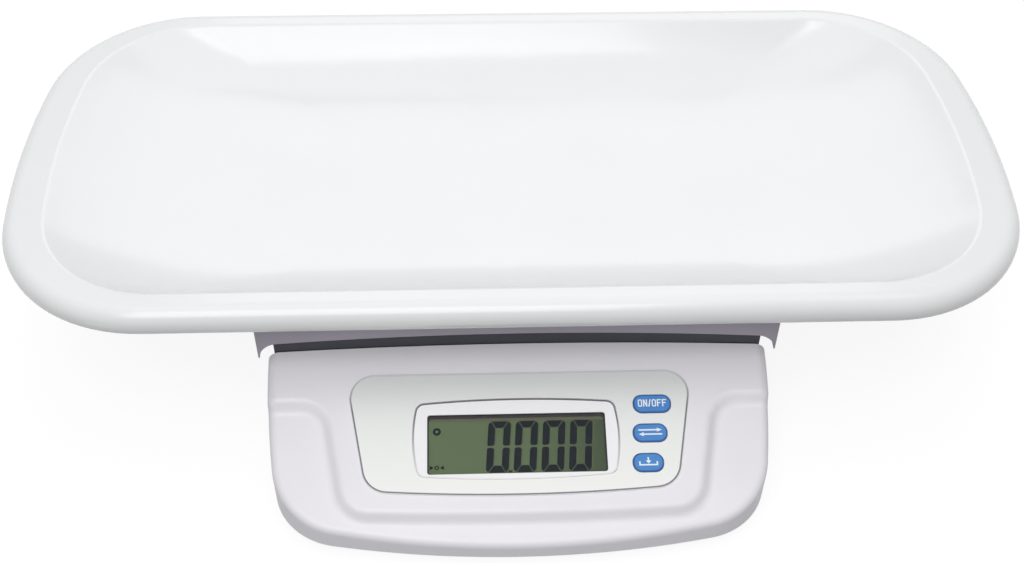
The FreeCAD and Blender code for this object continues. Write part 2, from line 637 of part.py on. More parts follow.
def make_cell_plate():
    body = new_body("plate_body")
    outline = rectangle("0", "0", "cell_plate_half_length", "cell_plate_half_width")
    pad(body, "cell_plate", "plate_foot", outline)
    rounded(body, "frame_corner / 2", upright)
    holes = [(x, y, "screw_radius + screw_play") for x, y in plate_screw_places]
    holes += [(x, "0", "screw_radius + screw_play") for x in fixed_end_screws]
    holes += [("-cell_screw_place", "0", "stop_radius + thread_play")]
    pocket(body, "cell_plate", "lower_spacer_foot", circles=holes)
    keep(body, "load_cell_plate")
    screws = [screw("plate_screw", x, y, "lower_spacer_foot", "cell_plate + plate_boss", "head_height")
              for x, y in plate_screw_places]
    keep(group("plate_screw_set", *screws), "plate_screws")
    solid = block("spacer_low", "spacer_place", "0", "lower_spacer_foot", "spacer_length", "cell_width",
                  "lower_spacer")
    holes = [rod("hole", x, "0", "lower_spacer_foot", "screw_radius + screw_play", "lower_spacer")
             for x in fixed_end_screws]
    keep(cut("lower_spacer_body", solid, *holes), "lower_spacer_block")
    length = "cell_plate + lower_spacer + cell_screw_grip"
    screws = [screw("cell_screw_low", x, "0", "plate_foot", length, down=False) for x in fixed_end_screws]
    keep(group("lower_cell_screw_set", *screws), "lower_cell_screws")
    stud = rod("stud", "-cell_screw_place", "0", "plate_foot", "stop_radius",
               "cell_foot - stop_gap - plate_foot")
    nut = new_body("stop_nut_body")
    half = "stop_nut_half"
    side = "(stop_nut_half / cos(30deg))"
    hexagon = [(f"{side} - cell_screw_place", "0"), (f"{side} / 2 - cell_screw_place", half),
               (f"-{side} / 2 - cell_screw_place", half), (f"-{side} - cell_screw_place", "0"),
               (f"-{side} / 2 - cell_screw_place", f"-{half}"),
               (f"{side} / 2 - cell_screw_place", f"-{half}")]
    pad(nut, "stop_nut", "lower_spacer_foot", hexagon)
    keep(fused("stop_body", stud, nut), "overload_stop")


# ---- case, deck and feet

def make_bottom_case():
    body = new_body("case_body")
    pad(body, "case_floor", "foot_height", console_outline("housing_wall + fit_gap"))
    pad(body, "case_floor", "foot_height", deck_outline("deck_wall + fit_gap"))
    bridge = rectangle("0", "flank_y", "deck_half_width - deck_wall - deck_corner", "bridge_half")
    pad(body, "case_floor", "foot_height", bridge)
    bosses = [(x, y, "plate_boss_radius") for x, y in plate_screw_places]
    pad(body, "plate_boss", "floor_top", circles=bosses)
    bay_middle = "(bay_front + bay_length / 2)"
    walls = rectangle("0", bay_middle, "bay_half_width + bay_wall", "bay_length / 2 + bay_wall")
    pad(body, "bay_height + bay_wall", "foot_height", walls)
    bay = rectangle("0", bay_middle, "bay_half_width", "bay_length / 2")
    pocket(body, "bay_height", "foot_height", bay, away=True)
    hinge = [("hinge_y", "hinge_z", "hinge_radius + hinge_play")]
    pocket(body, "2 * bay_half_width + 2 * bay_wall", "bay_half_width + bay_wall", circles=hinge,
           role="YZ_Plane")
    threads = [(x, y, "screw_radius + thread_play") for x, y in plate_screw_places]
    pocket(body, "plate_boss", "plate_foot", circles=threads)
    pocket(body, "case_floor", "floor_top", circles=[(x, y, "screw_radius + screw_play")
                                                     for x, y in case_screw_places])
    pocket(body, "case_head_recess", "foot_height", away=True,
           circles=[(x, y, "screw_head + screw_play") for x, y in case_screw_places])
    keep(body, "bottom_case")
    screws = [screw("case_screw", x, y, "foot_height + case_head_recess", "case_screw_length",
                    "case_head_recess - thread_play", down=False) for x, y in case_screw_places]
    keep(group("case_screw_set", *screws), "case_screws")
    feet = [rod("foot", x, y, "0", "foot_radius", "foot_height") for x, y in foot_places]
    soft = [softened("foot_soft", foot, "foot_chamfer", at_height("0"), "Chamfer") for foot in feet]
    keep(group("foot_set", *soft), "feet")


def make_deck_cover():
    body = new_body("deck_body")
    tall = "deck_top - housing_foot"
    pad(body, tall, "housing_foot", deck_outline("0"))
    rounded(body, "deck_corner", lambda edge: upright(edge) and edge.BoundBox.YMin > 0)
    rounded(body, "deck_corner / 2", at_height("deck_top"))
    pocket(body, f"{tall} - deck_wall", "housing_foot", deck_outline("deck_wall"), away=True)
    bosses = [(x, y, "case_boss") for x, y in deck_screw_places]
    pad(body, "deck_inner_top - floor_top", "floor_top", circles=bosses)
    pocket(body, "case_screw_length", "floor_top", away=True,
           circles=[(x, y, "screw_radius + thread_play") for x, y in deck_screw_places])
    slot = rectangle("-spacer_place", "0", "spacer_length / 2 + spacer_clearance",
                     "cell_width / 2 + spacer_clearance")
    pocket(body, "deck_wall", "deck_top", slot)
    reach = "(deck_half_width - deck_wall - deck_corner + fit_gap)"
    low = rectangle("0", "(housing_foot + floor_top + fit_gap) / 2", reach,
                    "(floor_top + fit_gap - housing_foot) / 2")
    notch = rectangle("0", "floor_top + jack_rise / 2", "cell_width", "jack_rise / 2 + fit_gap")
    for outline in (low, notch):
        pocket(body, "3 * deck_wall + 2 * console_back_bow", "-deck_front + console_back_bow", outline,
               role="XZ_Plane")
    pocket(body, "2 * deck_wall", "-deck_rear + 2 * deck_wall", role="XZ_Plane",
           circles=[("jack_place", "jack_axis_z", "jack_nose + fit_gap")])
    keep(body, "deck_cover")


def make_battery_door():
    body = new_body("door_body")
    middle = "((hinge_y + bay_rear - door_gap) / 2)"
    depth = "((bay_rear - door_gap - hinge_y) / 2)"
    pad(body, "door_thickness", "foot_height", rectangle("0", middle, "bay_half_width - door_gap", depth))
    barrel = [("hinge_y", "hinge_z", "hinge_radius + door_thickness")]
    pad(body, "2 * (bay_half_width - door_gap)", "door_gap - bay_half_width", circles=barrel,
        role="YZ_Plane")
    pin = [("hinge_y", "hinge_z", "hinge_radius")]
    pad(body, "2 * (bay_half_width + bay_wall)", "-bay_half_width - bay_wall", circles=pin, role="YZ_Plane")
    keep(body, "battery_door")


def make_batteries():
    cells = []
    springs = []
    for number in (-1.5, -0.5, 0.5, 1.5):
        x = f"battery_pitch * {number}"
        cell = rod("cell", x, "battery_front + nub_height", "battery_axis_z", "battery_radius",
                   "battery_length - nub_height", along="y")
        nub = rod("nub", x, "battery_front", "battery_axis_z", "nub_radius", "nub_height", along="y")
        cells.append(fused("battery", cell, nub))
        gap = "(bay_rear - contact - battery_front - battery_length)"
        cone = add("Part::Cone", "spring")
        bind(cone, Radius1="spring_tip", Radius2="spring_foot", Height=gap)
        cone.Placement = FreeCAD.Placement(FreeCAD.Vector(), FreeCAD.Rotation(FreeCAD.Vector(1, 0, 0), -90))
        placed(cone, x, "battery_front + battery_length", "battery_axis_z")
        core = rod("core", x, "battery_front + battery_length", "battery_axis_z", "spring_bore", gap,
                   along="y")
        springs.append(cut("battery_spring", cone, core))
    keep(group("battery_set", *cells), "battery_cells")
    keep(group("spring_set", *springs), "battery_springs")
    tall = "contact_height"
    foot = "battery_axis_z - contact_height / 2"
    plates = [block("contact", "0", y, foot, "battery_pitch * 4", "contact", tall)
              for y in ("battery_front - contact / 2", "bay_rear - contact / 2")]
    keep(group("contact_set", *plates), "battery_contacts")


def make_jack():
    inner = "(deck_rear - deck_wall)"
    case = block("jack_case", "jack_place", f"{inner} - jack_length / 2", "jack_axis_z - jack_height / 2",
                 "jack_width", "jack_length", "jack_height")
    nose = rod("jack_nose_rod", "jack_place", inner, "jack_axis_z", "jack_nose", "deck_wall", along="y")
    hole = rod("jack_mouth", "jack_place", "deck_rear - jack_hole_depth", "jack_axis_z", "jack_hole",
               "jack_hole_depth", along="y")
    pin = rod("jack_centre", "jack_place", "deck_rear - jack_hole_depth - jack_pin", "jack_axis_z",
              "jack_pin", "jack_hole_depth", along="y")
    keep(fused("jack_body", cut("jack_shell", fused("jack_block", case, nose), hole), pin), "dc_jack")


# ---- console housing

def panel_point(point):
    # a point of the load axis frame as X, place up the slope and height above the panel
    slope = math.radians(value("slope"))
    forward = point.y + value("panel_forward")
    up = point.z - value("panel_height")
    along = forward * math.cos(slope) + up * math.sin(slope)
    return point.x, along, up * math.cos(slope) - forward * math.sin(slope)


def middle_of(edge):
    return edge.valueAt((edge.FirstParameter + edge.LastParameter) / 2)


def on_level(edge, level):
    ends = [vertex.Point for vertex in edge.Vertexes] + [middle_of(edge)]
    return all(abs(panel_point(point)[2] - value(level)) < 1e-3 for point in ends)


def make_relief():
    # the T-shaped plateau standing on the lower shelf, before it is trimmed to the console's outline
    body = new_body("relief")
    far = "2 * console_half_width"
    pad(body, far, f"-shelf_step - {far}", rectangle("0", "0", far, far))
    side_top = ("(stem_inner_x - stem_inner_corner * cos(stem_lean))",
                "stem_inner_y + stem_inner_corner * sin(stem_lean)")
    side_foot = ("(stem_outer_x + stem_outer_corner * cos(stem_lean))",
                 "stem_outer_y - stem_outer_corner * sin(stem_lean)")
    low = ("(stem_outer_x + stem_outer_corner * sin(stem_tilt * 1deg))",
           "stem_outer_y - stem_outer_corner * cos(stem_tilt * 1deg)")
    plateau = [(far, far), (f"-({far})", far), (f"-({far})", "bar_place"),
               ("-stem_inner_x", "bar_place", "-stem_inner_corner"), (f"-{side_top[0]}", side_top[1]),
               (f"-{side_foot[0]}", side_foot[1], "stem_outer_corner"),
               (f"-{low[0]}", low[1], "stem_bow_radius"), (low[0], low[1], "stem_outer_corner"),
               side_foot, (side_top[0], side_top[1], "-stem_inner_corner"), ("stem_inner_x", "bar_place"),
               (far, "bar_place")]
    pad(body, "shelf_step", "-shelf_step", plateau, taper="-step_taper")
    limit = value(f"{far} - 2 * shelf_step")

    def contour(edge, height):
        point = middle_of(edge)
        return at_height(height)(edge) and abs(point.x) < limit and abs(point.y) < limit

    rounded(body, "blend_radius", lambda edge: contour(edge, "-shelf_step"))
    rounded(body, "blend_radius", lambda edge: contour(edge, "0"))
    return tilted(body)


def panel_block(label, x, along, foot, wide, deep, tall):
    # a box in the sloping panel's own directions
    return tilted(group(label, block(label + "_box", x, along, foot, wide, deep, tall)))


def make_console_form():
    # the console's outer form, solid
    column = prism("console_column", "housing_foot", "platform_top", console_outline("0"))
    far = "4 * console_half_width"
    below = panel_block("below_panel", "0", "0", f"-({far})", far, far, far)
    wedge = common("console_wedge", column, below)
    doc.recompute()
    walls = [face for face in column.Shape.Faces if abs(face.normalAt(0, 0).z) < 0.01]

    def rim(edge, level):
        if not on_level(edge, level):
            return False
        point = middle_of(edge)
        if abs(point.x) < value("console_half_width / 2") and point.y > value("flank_y - 1"):
            return False
        spot = Part.Vertex(point)
        return min(wall.distToShape(spot)[0] for wall in walls) < 0.01

    shoulders = softened("console_shoulders", wedge, "shoulder", lambda edge: rim(edge, "0"))
    trimmed = common("console_trimmed", shoulders, make_relief())
    return softened("console_form", trimmed, "shelf_edge", lambda edge: rim(edge, "-shelf_step"))


def make_upper_housing():
    far = "4 * console_half_width"
    column = prism("hollow_column", "housing_foot", "platform_top", console_outline("housing_wall"))
    low = panel_block("hollow_low", "0", "0", f"-shelf_step - housing_wall - ({far})", far, far, far)
    stem_half = "(stem_foot_half - 2 * housing_wall - shelf_step)"
    stem_foot = "(stem_foot_place + 3 * housing_wall + shelf_step)"
    stem = panel_block("hollow_stem", "0", f"({far}) / 2 + {stem_foot}", "-3 * shelf_step",
                       f"2 * {stem_half}", far, "3 * shelf_step - housing_wall")
    bar_foot = "(bar_place + 2 * housing_wall + shelf_step)"
    bar = panel_block("hollow_bar", "0", f"({far}) / 2 + {bar_foot}", "-3 * shelf_step",
                      "2 * console_half_width - 2 * shoulder", far, "3 * shelf_step - housing_wall")
    hollow = common("hollow", column, fused("hollow_levels", low, stem, bar))
    bosses = [rod("boss", x, y, "floor_top", "case_boss", "platform_top") for x, y in console_screw_places]
    board_bosses = [rod("board_boss", x, y, "board_top", "board_boss", "board_depth")
                    for x, y in board_screws]
    pillars = fused("pillars", tilted(group("board_pillars", *board_bosses)), *bosses)
    carved = cut("hollow_carved", hollow, pillars)
    threads = [rod("thread", x, y, "floor_top", "screw_radius + thread_play", "case_screw_length")
               for x, y in console_screw_places]
    board_threads = [rod("thread", x, y, "board_top", "small_screw + thread_play", "small_grip")
                     for x, y in board_screws]
    through = "shelf_step + 2 * housing_wall"
    window = block("window_hole", "window_place", "window_middle", "-shelf_step - housing_wall",
                   "2 * (window_half + lens_margin + fit_gap)",
                   "2 * (window_half_rise + lens_margin + fit_gap)", through)
    holes = [prism("key_hole", "-shelf_step - housing_wall", through, key_outline(level, "key_gap"))
             for level in key_levels]
    openings = tilted(group("panel_openings", window, *holes, *board_threads))
    reach = "2 * (deck_half_width - deck_wall - deck_corner + fit_gap)"
    rear = "flank_y + console_back_bow / 2"
    deep = "4 * housing_wall + console_back_bow"
    low_notch = block("low_notch", "0", rear, "housing_foot", reach, deep,
                      "case_floor - housing_lift + fit_gap")
    lead_notch = block("lead_notch", "0", rear, "housing_foot", "2 * cell_width", deep,
                       "jack_rise + fit_gap")
    keep(cut("housing_body", make_console_form(), carved, openings, low_notch, lead_notch, *threads),
         "upper_housing")


# ---- faceplate, display and keys, drawn flat and laid on the sloping panel

def key_outline(level, grow):
    # the keys' left ends lean with the plate's edge, and the lower keys are shorter
    width = f"(key_width + key_growth * {level})"
    left = f"(key_left + key_lean * {level})"
    return pill(f"{left} + {width} / 2", f"key_middle + key_pitch * {level}", f"{width} + 2 * ({grow})",
                f"key_rise + 2 * ({grow})", f"(key_corner + ({grow}))")


def key_centre(level):
    return (f"key_left + key_lean * {level} + (key_width + key_growth * {level}) / 2",
            f"key_middle + key_pitch * {level}")


def make_faceplate():
    body = new_body("faceplate_body")
    outline = slanted("face_top_half", "face_foot_half", "face_top_place", "face_foot_place", "face_bow")
    pad(body, "faceplate", "0", outline)
    rounded(body, "face_top_corner", lambda edge: upright(edge) and middle_of(edge).y > 0)
    rounded(body, "face_foot_corner", lambda edge: upright(edge) and middle_of(edge).y < 0
            and abs(edge.BoundBox.XLength) < 0.01 and edge.BoundBox.YMin < value("face_foot_place + 1"))
    rounded(body, "face_edge", at_height("faceplate"))
    pocket(body, "faceplate", "faceplate", bezel_outline("bezel_gap"))
    near = value("bezel_top_half + bezel_corner")
    rounded(body, "bezel_corner + bezel_gap", lambda edge: upright(edge)
            and abs(middle_of(edge).x - value("bezel_place")) < near)
    for level in key_levels:
        pocket(body, "faceplate", "faceplate", key_outline(level, "key_gap"))
    keep(body, "faceplate", panel=True)


def make_display():
    body = new_body("bezel_body")
    pad(body, "bezel", "0", bezel_outline("0"))
    rounded(body, "bezel_corner", upright)
    window = rectangle("window_place", "window_middle", "window_half", "window_half_rise")
    pocket(body, "bezel", "bezel", window)
    near = value("window_half + 1")
    rounded(body, "window_corner", lambda edge: upright(edge)
            and abs(middle_of(edge).x - value("window_place")) < near
            and abs(middle_of(edge).y - value("window_middle")) < value("window_half_rise + 0.1"))
    keep(body, "display_bezel", panel=True)

    lens_half = ("window_half + lens_margin", "window_half_rise + lens_margin")
    glass_half = ("window_half + glass_margin", "window_half_rise + glass_margin")
    centre = ("window_place", "window_middle")
    body = new_body("lens_body")
    pad(body, "lens", "-lens", rectangle(*centre, *lens_half))
    keep(body, "display_window", panel=True)

    body = new_body("glass_body")
    pad(body, "glass", "-lens - display_gap - glass", rectangle(*centre, *glass_half))
    keep(body, "lcd_glass", panel=True)

    body = new_body("carrier_body")
    pad(body, "board_depth - lens - display_gap", "board_top", rectangle(*centre, *lens_half))
    seat = rectangle(*centre, *[f"{half} + thread_play" for half in glass_half])
    pocket(body, "glass", "-lens - display_gap", seat)
    pocket(body, "board_depth - lens - display_gap - glass - carrier_floor", "board_top",
           rectangle(*centre, *glass_half), away=True)
    keep(body, "display_carrier", panel=True)


def make_board():
    body = new_body("board_body")
    middle = ("(board_right - board_left) / 2", "(board_head - board_foot) / 2")
    half = ("(board_right + board_left) / 2", "(board_head + board_foot) / 2")
    pad(body, "board", "board_top - board", rectangle(*middle, *half))
    rounded(body, "window_corner", upright)
    pocket(body, "board", "board_top", circles=[(x, y, "small_screw + screw_play") for x, y in board_screws])
    keep(body, "main_board", panel=True)
    screws = [screw("board_screw", x, y, "board_top - board", "board + small_grip - screw_play",
                    "small_head_height", down=False, radius="small_screw", head="small_head")
              for x, y in board_screws]
    keep(group("board_screw_set", *screws), "board_screws", panel=True)

    under = "board_top - board"
    chips = [block("chip", x, y, f"{under} - chip_thickness", side, side, "chip_thickness")
             for x, y, side in chip_places]
    keep(group("chip_set", *chips), "board_chips", panel=True)
    plugs = [block("plug", x, "connector_place", f"{under} - connector_depth", "plug_width",
                   "plug_depth", "connector_depth") for x in lead_plugs]
    keep(group("plug_set", *plugs), "board_connectors", panel=True)
    buzzer = rod("buzzer_body", "-board_left / 2 - buzzer_radius * 2", "connector_place",
                 f"{under} - buzzer_depth", "buzzer_radius", "buzzer_depth")
    vent = rod("buzzer_vent", "-board_left / 2 - buzzer_radius * 2", "connector_place",
               f"{under} - buzzer_depth", "buzzer_radius / 5", "buzzer_depth / 3")
    keep(cut("buzzer_cut", buzzer, vent), "buzzer", panel=True)


def make_keys():
    switches = []
    for level in key_levels:
        centre = key_centre(level)
        case = block("switch", *centre, "board_top", "switch_side", "switch_side", "switch_height")
        depth = "plunger_grip + key_travel + switch_height / 20"
        hole = rod("switch_hole", *centre, f"switch_top - ({depth})", "plunger_radius + plunger_gap", depth)
        switches.append(cut("tact_switch", case, hole))
    keep(group("switch_set", *switches), "tact_switches", panel=True)

    for name, level in zip(("power", "mode", "memory"), reversed(key_levels)):
        centre = key_centre(level)
        body = new_body(f"{name}_key_body")
        under = "-housing_wall - thread_play * 2"
        pad(body, f"key_top - ({under})", under, key_outline(level, "0"))
        rounded(body, "key_edge", at_height("key_top"))
        pad(body, "key_flange", f"{under} - key_flange", key_outline(level, "key_flange_reach"))
        stem_top = f"({under} - key_flange)"
        plunger_top = "(switch_top + plunger_height)"
        pad(body, f"{stem_top} - {plunger_top}", plunger_top, circles=[(*centre, "stem_radius")])
        keep(body, f"{name}_key", panel=True)
        tip = rod("plunger", *centre, f"{plunger_top} - plunger_height - plunger_grip", "plunger_radius",
                  "plunger_height + plunger_grip")
        keep(group(f"{name}_plunger_set", tip), f"{name}_switch_plunger", panel=True)


# ---- leads inside the case

def from_panel(x, along, height):
    # a point given on the panel, in the load axis frame
    slope = math.radians(value("slope"))
    along = value(along)
    height = value(height)
    forward = along * math.cos(slope) - height * math.sin(slope)
    rise = along * math.sin(slope) + height * math.cos(slope)
    return FreeCAD.Vector(value(x), forward - value("panel_forward"), rise + value("panel_height"))


def make_lead(label, radius, route):
    # straight runs joined by tangent arcs, each as large as its two runs allow
    edges = []
    start = route[0]
    for before, corner, after in zip(route, route[1:], route[2:]):
        inward = (corner - before).normalize()
        onward = (after - corner).normalize()
        turn = inward.getAngle(onward)
        cut_back = 0.45 * min((corner - before).Length, (after - corner).Length)
        first = corner - inward * cut_back
        last = corner + onward * cut_back
        sagitta = cut_back / math.tan(turn / 2) * (1 / math.cos(turn / 2) - 1)
        side = (onward - inward).normalize()
        edges.append(Part.LineSegment(start, first).toShape())
        edges.append(Part.Arc(first, corner + side * sagitta, last).toShape())
        start = last
    edges.append(Part.LineSegment(start, route[-1]).toShape())
    path = Part.Wire(edges)
    ring = Part.Wire(Part.makeCircle(radius, route[0], route[1] - route[0]))
    lead = add("Part::Feature", label)
    lead.Shape = path.makePipeShell([ring], True, False)
    wanted = math.pi * radius ** 2 * path.Length
    if abs(lead.Shape.Volume - wanted) > 0.01 * wanted:
        raise ValueError(label + ": the lead's volume is wrong")
    keep(lead, label)


def make_leads():
    radius = value("lead_radius")
    under = "board_top - board - connector_depth"
    floor = value("floor_top + 2 * lead_radius")
    notch = value("floor_top + jack_rise / 2")
    wall_y = value("flank_y")

    def to_plug(plug):
        # the last stretch, from the notch in the walls up into a plug
        foot = from_panel(plug, "connector_place", under)
        below = from_panel(plug, "connector_place", under + " - 8")
        through = FreeCAD.Vector(value(plug), wall_y - 4, notch - 1)
        return [through, FreeCAD.Vector(below.x, below.y + 5, notch + 1), below, foot]

    cell_side = FreeCAD.Vector(value("cell_hole_pitch"), value("-cell_width / 2"), value("cell_top - 6"))
    step = FreeCAD.Vector(0, -8, 0)
    cell_route = [cell_side, cell_side + step, FreeCAD.Vector(cell_side.x - 1, cell_side.y - 22, notch + 10),
                  FreeCAD.Vector(cell_side.x - 5, -62, notch - 1)]
    make_lead("load_cell_lead", radius, cell_route + to_plug(lead_plugs[1]))
    bay_face = FreeCAD.Vector(value("-bay_half_width / 2"), value("bay_front - bay_wall"), floor)
    battery_route = [bay_face, bay_face + FreeCAD.Vector(0, -26, 0), bay_face + FreeCAD.Vector(1, -60, 0),
                     bay_face + FreeCAD.Vector(-1, -98, 0)]
    make_lead("battery_lead", radius, battery_route + to_plug(lead_plugs[0]))
    jack_face = FreeCAD.Vector(value("jack_place"), value("deck_rear - deck_wall - jack_length"),
                               value("jack_axis_z"))
    jack_route = [jack_face, jack_face + step, FreeCAD.Vector(jack_face.x - 8, jack_face.y - 24, floor + 1),
                  FreeCAD.Vector(value("bay_half_width") + 7, value("bay_front"), floor),
                  FreeCAD.Vector(value("bay_half_width") + 2, -10, floor),
                  FreeCAD.Vector(value("cell_width") - 3, -62, floor + 1)]
    make_lead("jack_lead", radius, jack_route + to_plug(lead_plugs[2]))


key_levels = (-1, 0, 1)
board_screws = [(x, y) for x in ("-board_left + board_inset", "board_right - board_inset")
                for y in ("-board_foot + board_inset", "board_head - board_inset")]
lead_plugs = ("plug_middle - plug_pitch", "plug_middle", "plug_middle + plug_pitch")
chip_places = (("-chip_left", "chip_rise", "chip_large"), ("-chip_centre", "-chip_centre", "chip_small"),
               ("chip_right", "chip_rise", "chip_middle"))
free_end_screws = [f"-cell_screw_place {sign} cell_screw_pitch / 2" for sign in "-+"]
fixed_end_screws = [f"cell_screw_place {sign} cell_screw_pitch / 2" for sign in "-+"]
plate_screw_places = corners("cell_plate_half_length - plate_screw_inset",
                             "cell_plate_half_width - plate_screw_inset")
deck_screw_places = corners("deck_screw_across", "deck_screw_along")
console_screw_places = [(f"{side}console_screw_across", "-console_screw_place") for side in ("-", "")]
console_screw_places += [(f"{side}nose_screw_across", "-nose_screw_place") for side in ("-", "")]
case_screw_places = deck_screw_places + console_screw_places
foot_places = [(f"{side}foot_front_across", "-foot_front_place") for side in ("-", "")]
foot_places += [(f"{side}foot_rear_across", "foot_rear_place") for side in ("-", "")]

make_pan()
make_pan_pads()
make_platform_top()
make_platform_frame()
make_upper_spacer()
make_load_cell()
make_cell_plate()
make_bottom_case()
make_deck_cover()
make_battery_door()
make_batteries()
make_jack()
make_upper_housing()
make_faceplate()
make_display()
make_board()
make_keys()
make_leads()
doc.recompute()
for thing in doc.Objects:
    if "Invalid" in thing.State or "Error" in thing.State:
        raise ValueError(thing.Label + " failed: " + str(thing.State))
for piece in pieces:
    if piece.Shape.isNull() or not piece.Shape.isValid():
        raise ValueError(piece.Label + " has no valid shape")
for piece in pieces:
    piece.Shape.exportStep("parts/%s.step" % piece.Label)
    print(piece.Label, len(piece.Shape.Solids), round(piece.Shape.Volume / 1000, 2), piece.Shape.BoundBox)
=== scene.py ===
import bpy
import bmesh
import json
import math
from mathutils import Matrix, Vector


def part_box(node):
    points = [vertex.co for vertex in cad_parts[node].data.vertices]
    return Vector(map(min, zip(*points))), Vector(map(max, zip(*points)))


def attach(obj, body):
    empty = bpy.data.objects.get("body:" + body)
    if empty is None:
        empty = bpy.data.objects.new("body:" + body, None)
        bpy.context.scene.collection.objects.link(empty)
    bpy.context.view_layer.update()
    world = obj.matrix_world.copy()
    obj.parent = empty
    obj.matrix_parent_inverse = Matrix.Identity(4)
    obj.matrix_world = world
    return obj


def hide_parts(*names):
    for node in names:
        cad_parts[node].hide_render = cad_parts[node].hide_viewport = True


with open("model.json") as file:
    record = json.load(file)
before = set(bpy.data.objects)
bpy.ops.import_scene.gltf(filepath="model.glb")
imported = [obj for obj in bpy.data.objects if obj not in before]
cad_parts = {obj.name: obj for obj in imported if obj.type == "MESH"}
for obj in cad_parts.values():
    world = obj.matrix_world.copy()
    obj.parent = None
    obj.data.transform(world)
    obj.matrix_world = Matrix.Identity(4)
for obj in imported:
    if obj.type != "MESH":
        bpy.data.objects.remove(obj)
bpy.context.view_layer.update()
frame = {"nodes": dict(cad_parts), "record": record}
nodes = frame["nodes"]
mm = 0.001

# the console's sloping panel: X to the right, then up the slope, then out of the panel
panel = {"slope": 18.1, "forward": 162.0, "rise": 38.0}  # degrees and millimetres
panLow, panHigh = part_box("pan")
loadAxisY = (panLow.y + panHigh.y) / 2
panelPlace = Matrix.Translation((0, loadAxisY - panel["forward"] * mm, panel["rise"] * mm))
panelPlace = panelPlace @ Matrix.Rotation(math.radians(panel["slope"]), 4, "X")

# focal length and sensor in millimetres, distances and aim in metres, turns in degrees
view = {"focal": 46.81, "sensor": 36.0, "near": 0.01, "distance": 0.8338, "elevation": 45.29, "yaw": -2.43,
        "roll": 0.77, "aim": (0.0008, -0.0016)}


def placeCamera():
    up = math.radians(view["elevation"])
    yaw = math.radians(view["yaw"])
    roll = math.radians(view["roll"])
    back = Vector((math.sin(yaw) * math.cos(up), -math.cos(yaw) * math.cos(up), math.sin(up)))
    right = Vector((math.cos(yaw), math.sin(yaw), 0))
    top = back.cross(right)
    across = right * math.cos(roll) + top * math.sin(roll)
    upward = top * math.cos(roll) - right * math.sin(roll)
    aim = Vector((view["aim"][0], loadAxisY, view["aim"][1]))
    place = Matrix((across, upward, back)).transposed().to_4x4()
    place.translation = aim + back * view["distance"]
    data = bpy.data.cameras.new("camera")
    data.sensor_width = view["sensor"]
    data.lens = view["focal"]
    data.clip_start = view["near"]
    camera = bpy.data.objects.new("camera", data)
    camera.matrix_world = place
    bpy.context.scene.collection.objects.link(camera)
    bpy.context.scene.camera = camera


# places and sizes in metres, power in watts
lamps = {
    "key": {"place": (-0.25, -1.1, 1.45), "size": 1.1, "power": 13.5},
    "top": {"place": (0.1, -0.1, 1.7), "size": 1.4, "power": 5.5},
    "back": {"place": (0.1, 1.2, 1.2), "size": 1.2, "power": 5.5},
}
lampAim = 0.05  # the height that the lamps point at
surround = {"light": 0.38, "seen": 1.0}
floorLook = {"colour": 0.16, "lift": 0.88, "far": 1.0, "fadeFrom": 0.7, "fadeTo": 2.2, "half": 12.0}


def addLamp(name, place, size, power):
    data = bpy.data.lights.new(name, "AREA")
    data.size = size
    data.energy = power
    lamp = bpy.data.objects.new(name, data)
    lamp.location = place
    aim = Vector((0, loadAxisY, lampAim)) - Vector(place)
    lamp.rotation_euler = aim.to_track_quat("-Z", "Y").to_euler()
    bpy.context.scene.collection.objects.link(lamp)


def seenRays(tree):
    # one where a camera, glossy or transmission ray arrives, for a pale surround in view and in reflections
    path = tree.nodes.new("ShaderNodeLightPath")
    first = tree.nodes.new("ShaderNodeMath")
    first.operation = "MAXIMUM"
    second = tree.nodes.new("ShaderNodeMath")
    second.operation = "MAXIMUM"
    tree.links.new(path.outputs["Is Camera Ray"], first.inputs[0])
    tree.links.new(path.outputs["Is Glossy Ray"], first.inputs[1])
    tree.links.new(first.outputs[0], second.inputs[0])
    tree.links.new(path.outputs["Is Transmission Ray"], second.inputs[1])
    return second.outputs[0]


def makeSurround():
    world = bpy.data.worlds.new("surround")
    bpy.context.scene.world = world
    world.use_nodes = True
    tree = world.node_tree
    tree.nodes.clear()
    lit = tree.nodes.new("ShaderNodeBackground")
    lit.inputs["Strength"].default_value = surround["light"]
    seen = tree.nodes.new("ShaderNodeBackground")
    seen.inputs["Strength"].default_value = surround["seen"]
    for one in (lit, seen):
        one.inputs["Color"].default_value = (1, 1, 1, 1)
    mix = tree.nodes.new("ShaderNodeMixShader")
    out = tree.nodes.new("ShaderNodeOutputWorld")
    tree.links.new(seenRays(tree), mix.inputs[0])
    tree.links.new(lit.outputs[0], mix.inputs[1])
    tree.links.new(seen.outputs[0], mix.inputs[2])
    tree.links.new(mix.outputs[0], out.inputs["Surface"])


